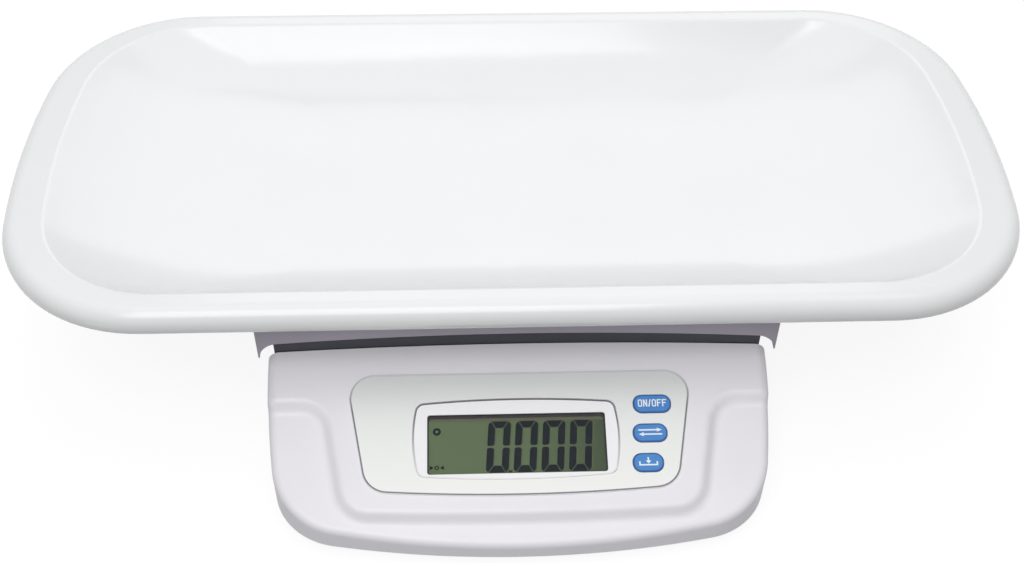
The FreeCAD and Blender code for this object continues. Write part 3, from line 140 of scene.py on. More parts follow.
def makeFloor():
    half = floorLook["half"]
    mesh = bpy.data.meshes.new("floor")
    mesh.from_pydata([(-half, -half, 0), (half, -half, 0), (half, half, 0), (-half, half, 0)], [],
                     [(0, 1, 2, 3)])
    floor = bpy.data.objects.new("floor", mesh)
    bpy.context.scene.collection.objects.link(floor)
    material = bpy.data.materials.new("paleFloor")
    material.use_nodes = True
    tree = material.node_tree
    tree.nodes.clear()
    ground = tree.nodes.new("ShaderNodeBsdfDiffuse")
    ground.inputs["Color"].default_value = (floorLook["colour"],) * 3 + (1,)
    glow = tree.nodes.new("ShaderNodeEmission")
    lift = tree.nodes.new("ShaderNodeMath")
    lift.operation = "MULTIPLY"
    # the lift grows with the distance from the middle, so that the floor meets the surround without a line
    place = tree.nodes.new("ShaderNodeTexCoord")
    away = tree.nodes.new("ShaderNodeVectorMath")
    away.operation = "LENGTH"
    fade = tree.nodes.new("ShaderNodeMapRange")
    fade.inputs["From Min"].default_value = floorLook["fadeFrom"]
    fade.inputs["From Max"].default_value = floorLook["fadeTo"]
    fade.inputs["To Min"].default_value = floorLook["lift"]
    fade.inputs["To Max"].default_value = floorLook["far"]
    tree.links.new(place.outputs["Object"], away.inputs[0])
    tree.links.new(away.outputs["Value"], fade.inputs["Value"])
    tree.links.new(fade.outputs[0], lift.inputs[1])
    both = tree.nodes.new("ShaderNodeAddShader")
    out = tree.nodes.new("ShaderNodeOutputMaterial")
    tree.links.new(seenRays(tree), lift.inputs[0])
    tree.links.new(lift.outputs[0], glow.inputs["Strength"])
    tree.links.new(ground.outputs[0], both.inputs[0])
    tree.links.new(glow.outputs[0], both.inputs[1])
    tree.links.new(both.outputs[0], out.inputs["Surface"])
    mesh.materials.append(material)


placeCamera()
for name, lamp in lamps.items():
    addLamp(name, **lamp)
makeSurround()
makeFloor()
bpy.context.scene.view_settings.view_transform = "Standard"
print("stage: camera, light and floor")


def shade(red, green, blue):
    # a screen colour out of 255 as scene light
    def linear(part):
        part = part / 255
        return part / 12.92 if part <= 0.04045 else ((part + 0.055) / 1.055) ** 2.4
    return (linear(red), linear(green), linear(blue), 1.0)


# colour and second colour that it drifts to, drift and grain sizes in millimetres, and the bump of the grain
finishes = {
    "pan_white": {"colour": (238, 239, 240), "other": (235, 236, 237), "rough": 0.2, "spread": 0.05,
                  "drift": 60, "grain": 1.6, "bump": 0.02, "coat": 0.1},
    "console_white": {"colour": (240, 238, 243), "other": (235, 233, 239), "rough": 0.42, "spread": 0.08,
                      "drift": 40, "grain": 0.35, "bump": 0.06},
    "case_white": {"colour": (220, 219, 224), "other": (214, 213, 219), "rough": 0.5, "spread": 0.08,
                   "drift": 50, "grain": 0.35, "bump": 0.08},
    "platform_grey": {"colour": (176, 170, 182), "other": (168, 162, 174), "rough": 0.5, "spread": 0.1,
                      "drift": 35, "grain": 0.4, "bump": 0.1},
    "deck_slate": {"colour": (62, 64, 71), "other": (56, 57, 63), "rough": 0.55, "spread": 0.1,
                   "drift": 30, "grain": 0.4, "bump": 0.12},
    "bezel_white": {"colour": (247, 247, 249), "other": (243, 243, 246), "rough": 0.25, "spread": 0.05,
                    "drift": 25, "grain": 0.8, "bump": 0.02, "coat": 0.2},
    "key_blue": {"colour": (34, 98, 172), "other": (28, 88, 160), "rough": 0.38, "spread": 0.1,
                 "drift": 6, "grain": 0.3, "bump": 0.05, "sheen": 0.15},
    "plunger_black": {"colour": (34, 34, 35), "other": (28, 28, 29), "rough": 0.5, "spread": 0.1,
                      "drift": 3, "grain": 0.2, "bump": 0.05},
    "carrier_black": {"colour": (40, 40, 41), "other": (34, 34, 35), "rough": 0.55, "spread": 0.1,
                      "drift": 12, "grain": 0.3, "bump": 0.08},
    "jack_black": {"colour": (36, 36, 37), "other": (30, 30, 31), "rough": 0.45, "spread": 0.1,
                   "drift": 5, "grain": 0.25, "bump": 0.06},
    "chip_black": {"colour": (38, 38, 40), "other": (33, 33, 34), "rough": 0.6, "spread": 0.1,
                   "drift": 4, "grain": 0.12, "bump": 0.08},
    "board_green": {"colour": (24, 108, 62), "other": (18, 94, 52), "rough": 0.3, "spread": 0.1,
                    "drift": 9, "grain": 0.5, "bump": 0.05, "coat": 0.4},
    "connector_cream": {"colour": (232, 225, 204), "other": (226, 218, 195), "rough": 0.5, "spread": 0.08,
                        "drift": 5, "grain": 0.3, "bump": 0.05},
    "potting": {"colour": (224, 224, 218), "other": (214, 214, 206), "rough": 0.35, "spread": 0.12,
                "drift": 6, "grain": 1.5, "bump": 0.15},
    "pad_rubber": {"colour": (88, 88, 90), "other": (78, 78, 80), "rough": 0.8, "spread": 0.1,
                   "drift": 6, "grain": 0.3, "bump": 0.15},
    "foot_rubber": {"colour": (50, 50, 52), "other": (42, 42, 44), "rough": 0.8, "spread": 0.1,
                    "drift": 8, "grain": 0.3, "bump": 0.2},
    "lead_grey": {"colour": (82, 82, 85), "other": (72, 72, 75), "rough": 0.5, "spread": 0.1,
                  "drift": 10, "grain": 0.5, "bump": 0.05},
    "battery_wrap": {"colour": (70, 74, 84), "other": (60, 64, 73), "rough": 0.3, "spread": 0.08,
                     "drift": 12, "grain": 0.8, "bump": 0.04, "metal": 0.5},
    "plate_steel": {"colour": (190, 192, 196), "other": (176, 178, 183), "rough": 0.35, "spread": 0.15,
                    "drift": 7, "grain": 0.5, "bump": 0.05, "metal": 1.0},
    "screw_steel": {"colour": (196, 197, 200), "other": (180, 181, 185), "rough": 0.3, "spread": 0.15,
                    "drift": 2, "grain": 0.3, "bump": 0.05, "metal": 1.0},
    "switch_steel": {"colour": (200, 200, 202), "other": (188, 188, 191), "rough": 0.35, "spread": 0.12,
                     "drift": 2, "grain": 0.3, "bump": 0.04, "metal": 1.0},
    "cell_aluminium": {"colour": (212, 213, 216), "other": (200, 201, 205), "rough": 0.32, "spread": 0.12,
                       "drift": 14, "grain": 0.4, "bump": 0.05, "metal": 1.0, "stretch": 14},
    "cast_aluminium": {"colour": (196, 197, 200), "other": (182, 183, 187), "rough": 0.5, "spread": 0.15,
                       "drift": 8, "grain": 0.6, "bump": 0.2, "metal": 1.0},
    "contact_plating": {"colour": (214, 211, 204), "other": (200, 197, 190), "rough": 0.22, "spread": 0.1,
                        "drift": 4, "grain": 0.3, "bump": 0.03, "metal": 1.0},
}
noiseLook = {"detail": 3.0, "depth": 0.1}  # the depth is a share of the grain's size


def noiseAt(tree, sizeMm, stretch=1.0):
    place = tree.nodes.new("ShaderNodeTexCoord")
    mapping = tree.nodes.new("ShaderNodeMapping")
    mapping.inputs["Scale"].default_value = (1 / stretch, 1, 1)
    noise = tree.nodes.new("ShaderNodeTexNoise")
    noise.inputs["Scale"].default_value = 1 / (sizeMm * mm)
    noise.inputs["Detail"].default_value = noiseLook["detail"]
    tree.links.new(place.outputs["Object"], mapping.inputs["Vector"])
    tree.links.new(mapping.outputs[0], noise.inputs["Vector"])
    return noise.outputs["Fac"]


def newFinish(name):
    material = bpy.data.materials.new(name)
    material.use_nodes = True
    return material, material.node_tree, material.node_tree.nodes["Principled BSDF"]


def blendColours(tree, factor, first, second):
    # sockets 6 and 7 are the two colours, and output 2 is their mix
    mix = tree.nodes.new("ShaderNodeMix")
    mix.data_type = "RGBA"
    tree.links.new(factor, mix.inputs[0])
    mix.inputs[6].default_value = first
    mix.inputs[7].default_value = second
    return mix.outputs[2]


def addGrain(tree, shader, look):
    # roughness that varies with the drift, and a fine bump
    drift = noiseAt(tree, look["drift"])
    rough = tree.nodes.new("ShaderNodeMapRange")
    rough.inputs["To Min"].default_value = look["rough"] - look["spread"]
    rough.inputs["To Max"].default_value = look["rough"] + look["spread"]
    tree.links.new(drift, rough.inputs["Value"])
    tree.links.new(rough.outputs[0], shader.inputs["Roughness"])
    bump = tree.nodes.new("ShaderNodeBump")
    bump.inputs["Strength"].default_value = look["bump"]
    bump.inputs["Distance"].default_value = look["grain"] * noiseLook["depth"] * mm
    tree.links.new(noiseAt(tree, look["grain"], stretch=look.get("stretch", 1.0)), bump.inputs["Height"])
    tree.links.new(bump.outputs[0], shader.inputs["Normal"])
    return drift


def plainFinish(name):
    look = finishes[name]
    material, tree, shader = newFinish(name)
    drift = addGrain(tree, shader, look)
    tone = blendColours(tree, drift, shade(*look["colour"]), shade(*look["other"]))
    tree.links.new(tone, shader.inputs["Base Color"])
    shader.inputs["Metallic"].default_value = look.get("metal", 0.0)
    shader.inputs["Coat Weight"].default_value = look.get("coat", 0.0)
    shader.inputs["Sheen Weight"].default_value = look.get("sheen", 0.0)
    shader.inputs["Specular IOR Level"].default_value = look.get("specular", 0.5)
    return material


def rampAlong(tree, axis, first, last, stops):
    # a colour that changes along one of the object's own axes, between two places in metres
    place = tree.nodes.new("ShaderNodeTexCoord")
    split = tree.nodes.new("ShaderNodeSeparateXYZ")
    share = tree.nodes.new("ShaderNodeMapRange")
    share.inputs["From Min"].default_value = first
    share.inputs["From Max"].default_value = last
    ramp = tree.nodes.new("ShaderNodeValToRGB")
    marks = ramp.color_ramp.elements
    while len(marks) < len(stops):
        marks.new(0.5)
    for mark, (part, colour) in zip(marks, stops):
        mark.position = part
        mark.color = shade(*colour)
    tree.links.new(place.outputs["Object"], split.inputs[0])
    tree.links.new(split.outputs[axis], share.inputs["Value"])
    tree.links.new(share.outputs[0], ramp.inputs["Fac"])
    return ramp.outputs["Color"]


plateLow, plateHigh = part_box("faceplate")
bezelLow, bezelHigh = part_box("display_bezel")
graded = {
    # printed silver film, with painted shade that darkens it towards the top, nearer the pan
    "faceplate_silver": {"axis": "Y", "first": plateLow.y, "last": plateHigh.y, "metal": 0.12, "rough": 0.36,
                         "spread": 0.05, "drift": 20, "grain": 0.25, "bump": 0.03, "stretch": 8,
                         "stops": ((0.0, (233, 234, 231)), (0.55, (228, 230, 228)), (1.0, (224, 226, 225)))},
    # painted shadow along the faceplate's edge, dark at the foot and sides and faint at the top
    "faceplateLine": {"axis": "Y", "first": plateLow.y, "last": plateHigh.y, "rough": 0.5, "spread": 0.08,
                      "drift": 8, "grain": 0.3, "bump": 0.04,
                      "stops": ((0.0, (129, 123, 133)), (0.7, (120, 118, 124)), (1.0, (214, 216, 217)))},
    # painted highlight along the bezel's foot, turning into painted shade along its arched top
    "bezelLine": {"axis": "Y", "first": bezelLow.y, "last": bezelHigh.y, "rough": 0.45, "spread": 0.08,
                  "drift": 8, "grain": 0.3, "bump": 0.04,
                  "stops": ((0.0, (240, 240, 241)), (0.25, (214, 212, 217)), (0.7, (128, 122, 131)),
                            (1.0, (92, 84, 95)))},
    "lcd_green": {"axis": "X", "first": -0.045, "last": 0.043, "rough": 0.3, "spread": 0.05,
                  "drift": 18, "grain": 0.15, "bump": 0.02, "specular": 0.12,
                  "stops": ((0.0, (94, 112, 79)), (0.6, (90, 108, 76)), (1.0, (66, 80, 56)))},
}
finishes.update(graded)


def gradedFinish(name):
    look = finishes[name]
    material, tree, shader = newFinish(name)
    addGrain(tree, shader, look)
    tone = rampAlong(tree, look["axis"], look["first"], look["last"], look["stops"])
    tree.links.new(tone, shader.inputs["Base Color"])
    shader.inputs["Metallic"].default_value = look.get("metal", 0.0)
    shader.inputs["Specular IOR Level"].default_value = look.get("specular", 0.5)
    return material


windowLook = {"colour": (245, 247, 245), "rough": 0.04, "spread": 0.02, "drift": 30, "grain": 2.0,
              "bump": 0.01, "alpha": 0.01, "specular": 0.06, "ior": 1.49}


def windowFinish(name):
    material, tree, shader = newFinish(name)
    addGrain(tree, shader, windowLook)
    shader.inputs["Base Color"].default_value = shade(*windowLook["colour"])
    shader.inputs["Alpha"].default_value = windowLook["alpha"]
    shader.inputs["IOR"].default_value = windowLook["ior"]
    shader.inputs["Specular IOR Level"].default_value = windowLook["specular"]
    return material


made = {}


def finish(name):
    if name not in made:
        maker = windowFinish if name == "window_clear" else gradedFinish if name in graded else plainFinish
        made[name] = maker(name)
    return made[name]


for entry in frame["record"]["subparts"]:
    node = nodes[entry["node"]]
    node.data.materials.clear()
    node.data.materials.append(finish(entry["material_slot"]))
print("stage: finishes on", len(nodes), "nodes")


inks = {
    "segmentInk": {"colour": (19, 27, 35), "other": (16, 23, 31), "rough": 0.35, "spread": 0.05,
                   "drift": 4, "grain": 0.2, "bump": 0.02, "specular": 0.05},
    # painted shadow of the segments, a little to their right
    "segmentGhost": {"colour": (80, 96, 60), "other": (76, 92, 57), "rough": 0.35, "spread": 0.05,
                     "drift": 4, "grain": 0.2, "bump": 0.02, "specular": 0.25},
    # painted shade at the top of the display, below its dark edge
    "stripInk": {"colour": (92, 94, 74), "other": (88, 90, 70), "rough": 0.35, "spread": 0.05,
                 "drift": 6, "grain": 0.2, "bump": 0.02, "specular": 0.25},
    # the display's printed border together with the painted shadow of the window's rim
    "maskInk": {"colour": (44, 44, 44), "other": (38, 38, 38), "rough": 0.4, "spread": 0.06,
                "drift": 6, "grain": 0.3, "bump": 0.03, "specular": 0.25},
    # the keys' tops, painted lighter than their key_blue rims as light on the top and shade at the edge
    "keyInk": {"colour": (58, 134, 206), "other": (50, 126, 198), "rough": 0.36, "spread": 0.08,
               "drift": 6, "grain": 0.3, "bump": 0.04},
    "symbolInk": {"colour": (240, 244, 248), "other": (232, 237, 243), "rough": 0.4, "spread": 0.06,
                  "drift": 3, "grain": 0.2, "bump": 0.03},
}
finishes.update(inks)


def newPiece(name, shape, ink):
    # closes a mesh under construction into an object with its finish
    bmesh.ops.recalc_face_normals(shape, faces=shape.faces)
    mesh = bpy.data.meshes.new(name)
    shape.to_mesh(mesh)
    shape.free()
    piece = bpy.data.objects.new(name, mesh)
    bpy.context.scene.collection.objects.link(piece)
    mesh.materials.append(finish(ink))
    return piece


def plates(name, outlines, low, high, ink, body, place=panelPlace):
    # flat plates from outlines in millimetres, between two heights above the panel
    shape = bmesh.new()
    for outline in outlines:
        foot = [shape.verts.new(place @ Vector((x * mm, y * mm, low * mm))) for x, y in outline]
        top = [shape.verts.new(place @ Vector((x * mm, y * mm, high * mm))) for x, y in outline]
        shape.faces.new(top)
        shape.faces.new(list(reversed(foot)))
        for here in range(len(outline)):
            after = (here + 1) % len(outline)
            shape.faces.new((foot[here], foot[after], top[after], top[here]))
    piece = newPiece(name, shape, ink)
    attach(piece, body)


def band(outer, inner):
    # a closed ring between two outlines with as many points, as quads
    count = len(outer)
    return [[outer[k], outer[(k + 1) % count], inner[(k + 1) % count], inner[k]] for k in range(count)]


def weldedCopy(nodeName, reach=0.001):
    # a node's mesh with the vertices joined that lie within so many millimetres
    shape = bmesh.new()
    shape.from_mesh(nodes[nodeName].data)
    bmesh.ops.remove_doubles(shape, verts=shape.verts, dist=reach * mm)
    return shape


def flatLoops(nodeName, level, slack=0.03):
    # the outlines of a node's flat face at one level of the panel, in millimetres, the widest first
    shape = weldedCopy(nodeName)
    shape.verts.index_update()
    toPanel = panelPlace.inverted()
    spots = [toPanel @ vert.co / mm for vert in shape.verts]
    ahead = {}
    for edge in shape.edges:
        flat = [all(abs(spots[v.index].z - level) < slack for v in face.verts) for face in edge.link_faces]
        if flat.count(True) == 1:
            first, second = edge.verts[0].index, edge.verts[1].index
            ahead.setdefault(first, []).append(second)
            ahead.setdefault(second, []).append(first)
    shape.free()
    loops = []
    while ahead:
        start = min(ahead)
        loop, here = [], start
        while here in ahead:
            loop.append(here)
            onward = [vert for vert in ahead.pop(here) if vert in ahead]
            here = onward[0] if onward else start
        loops.append([(spots[vert].x, spots[vert].y) for vert in loop])
    loops.sort(key=lambda loop: -max(x for x, y in loop) + min(x for x, y in loop))
    return [loop if signedArea(loop) > 0 else loop[::-1] for loop in loops]


def signedArea(loop):
    # positive where the outline runs anticlockwise
    return sum(loop[k - 1][0] * loop[k][1] - loop[k][0] * loop[k - 1][1] for k in range(len(loop))) / 2


def grown(loop, amount, least=0.2):
    # an outline moved outwards by so many millimetres, held back at sharp corners
    result = []
    for here in range(len(loop)):
        before, spot, after = (Vector(loop[k % len(loop)]) for k in (here - 1, here, here + 1))
        first, second = (spot - before).normalized(), (after - spot).normalized()
        outward = Vector((first.y + second.y, -first.x - second.x))
        share = max(outward.length_squared / 2, least)
        result.append(tuple(spot + outward * amount / share))
    return result


def tidied(loop, least=0.08):
    # an outline without points that lie closer than so many millimetres
    kept = []
    for spot in loop:
        if not kept or (Vector(spot) - Vector(kept[-1])).length > least:
            kept.append(spot)
    return kept


def ringOutline(x, y, radius, count=28, start=0.0, turn=360.0):
    # a circle, or an arc of it with both its ends
    steps = count if turn >= 360 else count + 1
    angles = [math.radians(start + turn * k / count) for k in range(steps)]
    return [(x + radius * math.cos(angle), y + radius * math.sin(angle)) for angle in angles]


digits = {"count": 4, "firstX": -12.9, "pitch": 14.36, "foot": -11.8, "tall": 28.1, "wide": 11.85,
          "stroke": 3.75, "gap": 0.2, "cut": 1.5, "waist": 0.55, "nib": 0.4, "nibSide": 0.2,
          "innerCut": 0.9, "outerCut": 0.7, "lean": 0.075, "level": -1.49, "thick": 0.06,
          "ghost": 0.6, "ghostThick": 0.02}


def segmentsOfZero(shift=0.0):
    # the six lit bars of a zero, with mitred ends and cut corners, from its lower left corner
    wide, tall, stroke, gap = (digits[part] for part in ("wide", "tall", "stroke", "gap"))
    cut, nib, nibSide = (digits[part] for part in ("cut", "nib", "nibSide"))
    inner, outer = digits["innerCut"], digits["outerCut"]
    end = tall / 2 - digits["waist"]
    foot = [(cut + gap, 0), (wide - cut - gap, 0),
            (wide - stroke + nibSide - gap, stroke - nib), (wide - stroke - gap - nib, stroke),
            (stroke + gap + nib, stroke), (stroke - nibSide + gap, stroke - nib)]
    side = [(cut - gap, gap), (stroke, stroke + gap), (stroke, end - inner), (stroke - inner, end),
            (outer, end), (0, end - outer), (0, cut + gap)]
    bars = [foot, [(x, tall - y) for x, y in foot]]
    for bar in (side, [(x, tall - y) for x, y in side]):
        bars += [bar, [(wide - x, y) for x, y in bar]]
    return [[(x + y * digits["lean"] + shift, y) for x, y in bar] for bar in bars]


def rectangle(left, foot, right, top):
    return [(left, foot), (right, foot), (right, top), (left, top)]


def softRectangle(left, foot, right, top, corner, steps=6):
    # a rectangle with round corners
    spots = []
    for x, y, start in ((right - corner, top - corner, 0), (left + corner, top - corner, 90),
                        (left + corner, foot + corner, 180), (right - corner, foot + corner, 270)):
        spots += ringOutline(x, y, corner, steps, start, 90)
    return spots


def makeDigits():
    # a row of zeros, each with a fainter and thinner copy beside it as its painted shadow
    level = digits["level"]
    layers = (("digit", 0.0, digits["thick"], "segmentInk"),
              ("digit_shadow", digits["ghost"], digits["ghostThick"], "segmentGhost"))
    for number in range(digits["count"]):
        x = digits["firstX"] + number * digits["pitch"] - digits["wide"] / 2
        for name, shift, high, ink in layers:
            bars = [[(x + a, digits["foot"] + b) for a, b in bar] for bar in segmentsOfZero(shift)]
            plates("%s_%d" % (name, number + 1), bars, level, level + high, ink, "base")


displayMarks = {"pointX": -5.9, "pointY": -11.3, "pointWide": 2.0, "pointTall": 1.2, "ringX": -43.9,
                "ringY": 11.1, "ringOuter": 2.1, "ringInner": 0.85, "zeroX": -44.0, "zeroY": -8.6,
                "zeroTall": 2.4, "zeroHalf": 3.7, "zeroStroke": 0.54, "arrowTip": 1.56}


def makeDisplayMarks():
    # the decimal point, the ring of a steady reading, and a ring between two arrowheads for zero
    level, thick = digits["level"], digits["thick"]
    x, y = displayMarks["pointX"], displayMarks["pointY"]
    wide, tall = displayMarks["pointWide"] / 2, displayMarks["pointTall"] / 2
    point = rectangle(x - wide, y - tall, x + wide, y + tall)
    plates("decimal_point", [point], level, level + thick, "segmentInk", "base")
    outer = ringOutline(displayMarks["ringX"], displayMarks["ringY"], displayMarks["ringOuter"])
    inner = ringOutline(displayMarks["ringX"], displayMarks["ringY"], displayMarks["ringInner"])
    plates("stable_mark", band(outer, inner), level, level + thick, "segmentInk", "base")
    x, y, half = displayMarks["zeroX"], displayMarks["zeroY"], displayMarks["zeroTall"] / 2
    ring = ringOutline(x, y, half)
    parts = band(ring, grown(ring, -displayMarks["zeroStroke"]))
    for way in (1, -1):
        far, near = x + way * displayMarks["zeroHalf"], x + way * displayMarks["arrowTip"]
        parts.append([(far, y - half), (near, y), (far, y + half)])
    plates("zero_mark", parts, level, level + thick, "segmentInk", "base")


displayMask = {"left": -48.9, "right": 44.5, "foot": -12.9, "top": 19.7, "topBand": 1.7, "leftBand": 0.8,
               "rightBand": 0.9, "footBand": 0.4, "spread": 0.5, "corner": 1.5, "level": -1.3, "thick": 0.06,
               "strip": 1.6, "stripThick": 0.01}


def makeDisplayMask():
    # the dark edge of the display, its printed border widened at the top and left by painted shadow of the
    # window's rim, and a browner strip of painted shade under it
    left, right = displayMask["left"], displayMask["right"]
    foot, top = displayMask["foot"], displayMask["top"]
    corner, level, spread = displayMask["corner"], displayMask["level"], displayMask["spread"]
    outer = softRectangle(left - spread, foot - spread, right + spread, top + spread, corner)
    inner = softRectangle(left + displayMask["leftBand"], foot + displayMask["footBand"],
                          right - displayMask["rightBand"], top - displayMask["topBand"], corner)
    plates("display_mask", band(outer, inner), level, level + displayMask["thick"],
           "maskInk", "base")
    strip = rectangle(left, top - displayMask["topBand"] - displayMask["strip"], right, top)
    plates("display_strip", [strip], digits["level"], digits["level"] + displayMask["stripThick"],
           "stripInk", "base")


shadeLineThick = 0.03
panelShadeLines = {
    "faceplate_line": {"node": "faceplate", "level": 1.0, "wide": 0.85, "ink": "faceplateLine",
                       "slot": "faceplate_silver"},
    "bezel_line": {"node": "display_bezel", "level": 0.6, "wide": 0.8, "ink": "bezelLine",
                   "slot": "bezel_white"},
}


def makePanelShadeLines():
    # painted shade lines just inside the edges of the faceplate and the bezel, the bezel's with a painted
    # highlight at its foot
    for name, line in panelShadeLines.items():
        outer = tidied(flatLoops(line["node"], line["level"])[0])
        plates(name, band(outer, grown(outer, -line["wide"])), line["level"], line["level"] + shadeLineThick,
               line["ink"], "base")


makeDigits()
makeDisplayMarks()
makeDisplayMask()
makePanelShadeLines()
print("stage: display and panel lines")


# sizes as shares of the letters' height, but corner and arm of a letter's width and ring of its stroke
letterShares = {"wide": 0.55, "between": 0.11, "slash": 0.36, "middle": 0.52, "high": 0.6, "low": 0.4,
                "corner": 0.34, "arm": 0.86, "ring": 0.92, "steps": 4}


def lettersOn(x, y, tall, stroke):
    # ON/OFF, from its middle
    wide, between, slashWide = (tall * letterShares[part] for part in ("wide", "between", "slash"))
    middle, high, low = (tall * letterShares[part] for part in ("middle", "high", "low"))
    corner, arm = (wide * letterShares[part] for part in ("corner", "arm"))
    foot = y - tall / 2
    letterN = [(0, 0), (stroke, 0), (stroke, high), (wide - stroke, 0), (wide, 0), (wide, tall),
               (wide - stroke, tall), (wide - stroke, low), (stroke, tall), (0, tall)]
    letterF = [(0, 0), (stroke, 0), (stroke, middle - stroke / 2), (arm, middle - stroke / 2),
               (arm, middle + stroke / 2), (stroke, middle + stroke / 2), (stroke, tall - stroke),
               (wide, tall - stroke), (wide, tall), (0, tall)]
    slash = [(0, 0), (stroke, 0), (slashWide, tall), (slashWide - stroke, tall)]
    parts = []
    across = x - (5 * wide + slashWide + 5 * between) / 2
    for letter in ("O", letterN, slash, "O", letterF, letterF):
        if letter == "O":
            outer = softRectangle(across, foot, across + wide, foot + tall, corner, letterShares["steps"])
            parts += band(outer, grown(outer, -stroke * letterShares["ring"]))
        else:
            parts.append([(across + a, foot + b) for a, b in letter])
        across += (slashWide if letter is slash else wide) + between
    return parts


arrowShares = {"apart": 0.29, "far": 1.5, "neck": 0.85, "head": 0.27}  # of the sign's height


def arrowsOn(x, y, tall, stroke):
    # two opposite arrows, from their middle
    apart, far, neck, head = (tall * arrowShares[part] for part in ("apart", "far", "neck", "head"))
    parts = []
    for way in (1, -1):
        level = y + way * apart
        shaft = [(x - way * far, level - stroke / 2), (x + way * neck, level - stroke / 2),
                 (x + way * neck, level + stroke / 2), (x - way * far, level + stroke / 2)]
        point = [(x + way * neck, level - head), (x + way * far, level), (x + way * neck, level + head)]
        parts += [shaft, point]
    return parts


# of the sign's height, but tip of its stroke
trayShares = {"half": 1.2, "head": 0.36, "lip": 0.55, "neck": 0.66, "top": 0.6, "tip": 1.3}


def trayOn(x, y, tall, stroke):
    # an arrow down into an open tray, from its middle
    half, head, top = (tall * trayShares[part] for part in ("half", "head", "top"))
    foot = y - tall / 2
    lip, neck = (foot + tall * trayShares[part] for part in ("lip", "neck"))
    tray = [(x - half, foot), (x + half, foot), (x + half, lip), (x + half - stroke, lip),
            (x + half - stroke, foot + stroke), (x - half + stroke, foot + stroke), (x - half + stroke, lip),
            (x - half, lip)]
    shaft = rectangle(x - stroke / 2, neck, x + stroke / 2, y + top)
    return [tray, shaft, [(x - head, neck), (x, foot + stroke * trayShares["tip"]), (x + head, neck)]]


keyMarks = {"level": 1.9, "face": 0.04, "inset": 0.3, "thick": 0.03, "stroke": 0.8, "thin": 0.66,
            "rise": 0.2, "tall": 4.1}


def makeKeyFaces():
    # a lighter face on each key, painted light on its top that leaves the rim darker as painted shade, and
    # its sign above it, in the middle of the key's outline
    for key, drawn in (("power", lettersOn), ("mode", arrowsOn), ("memory", trayOn)):
        outline = tidied(flatLoops(key + "_key", keyMarks["level"])[0])
        level = keyMarks["level"] + keyMarks["face"]
        plates(key + "_face", [grown(outline, -keyMarks["inset"])], keyMarks["level"], level, "keyInk",
               key + "_key_body")
        x = (min(a for a, b in outline) + max(a for a, b in outline)) / 2
        y = (min(b for a, b in outline) + max(b for a, b in outline)) / 2 + keyMarks["rise"]
        stroke = keyMarks["thin" if key == "power" else "stroke"]
        plates(key + "_symbol", drawn(x, y, keyMarks["tall"], stroke), level,
               level + keyMarks["thick"], "symbolInk", key + "_key_body")


makeKeyFaces()
print("stage: keys")


def islandsOf(nodeName):
    # the vertices of each separate solid of a node
    shape = weldedCopy(nodeName)
    seen, found = set(), []
    for start in shape.verts:
        if start in seen:
            continue
        seen.add(start)
        waiting, island = [start], []
        while waiting:
            here = waiting.pop()
            island.append(here.co.copy())
            for edge in here.link_edges:
                other = edge.other_vert(here)
                if other not in seen:
                    seen.add(other)
                    waiting.append(other)
        found.append(island)
    shape.free()
    return found


def boxOf(spots):
    # the lowest corner, the highest one and the middle
    low = Vector(min(spot[axis] for spot in spots) for axis in range(3))
    high = Vector(max(spot[axis] for spot in spots) for axis in range(3))
    return low, high, (low + high) / 2


def turned(shape, centre, rows, angles):
    # a closed solid round an upright axis: each row is a height and a radius or a radius for an angle
    rings = []
    for height, radius in rows:
        reach = radius if callable(radius) else lambda angle, fixed=radius: fixed
        rings.append([shape.verts.new((centre.x + reach(angle) * mm * math.cos(angle),
                                       centre.y + reach(angle) * mm * math.sin(angle), height))
                      for angle in angles])
    count = len(angles)
    for lower, upper in zip(rings, rings[1:]):
        for here in range(count):
            after = (here + 1) % count
            shape.faces.new((lower[here], lower[after], upper[after], upper[here]))
    for ring, height in ((rings[0], rows[0][0]), (rings[-1], rows[-1][0])):
        middle = shape.verts.new((centre.x, centre.y, height))
        for here in range(count):
            shape.faces.new((middle, ring[here], ring[(here + 1) % count]))


def standIn(name, nodeName, build, ink, body):
    # one detailed piece in place of a node, built solid by solid
    shape = bmesh.new()
    for island in islandsOf(nodeName):
        build(shape, island)
    piece = newPiece(name, shape, ink)
    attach(piece, body)
    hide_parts(nodeName)


def evenAngles(count):
    return [2 * math.pi * k / count for k in range(count)]


# radii and heights in millimetres; the recess narrows to floorShare of its mouth
screws = {"head": 4.5, "brow": 4.2, "face": 3.6, "shank": 2.5, "tip": 1.7, "armLong": 2.3, "armHalf": 0.55,
          "deep": 1.2, "floorShare": 0.5, "browHeight": 0.18, "crown": 0.45, "tipHeight": 0.8, "turns": 48,
          "shankSlack": 0.5, "endSlack": 1.0}


def crossReach(angle):
    # how far a cross recess reaches at one angle
    tiny = 1e-6  # keeps the arms' own directions out of a division by zero
    across, along = max(abs(math.cos(angle)), tiny), max(abs(math.sin(angle)), tiny)
    long, half = screws["armLong"], screws["armHalf"]
    return max(min(long / across, half / along), min(half / across, long / along))


def crossAngles():
    # even steps round the screw, with the outer corners of the recess between them
    corner = math.atan2(screws["armHalf"], screws["armLong"])
    arms = [quarter * math.pi / 2 for quarter in range(4)]
    corners = [(arm + way * corner) % (2 * math.pi) for arm in arms for way in (1, -1)]
    return sorted(evenAngles(screws["turns"]) + corners)


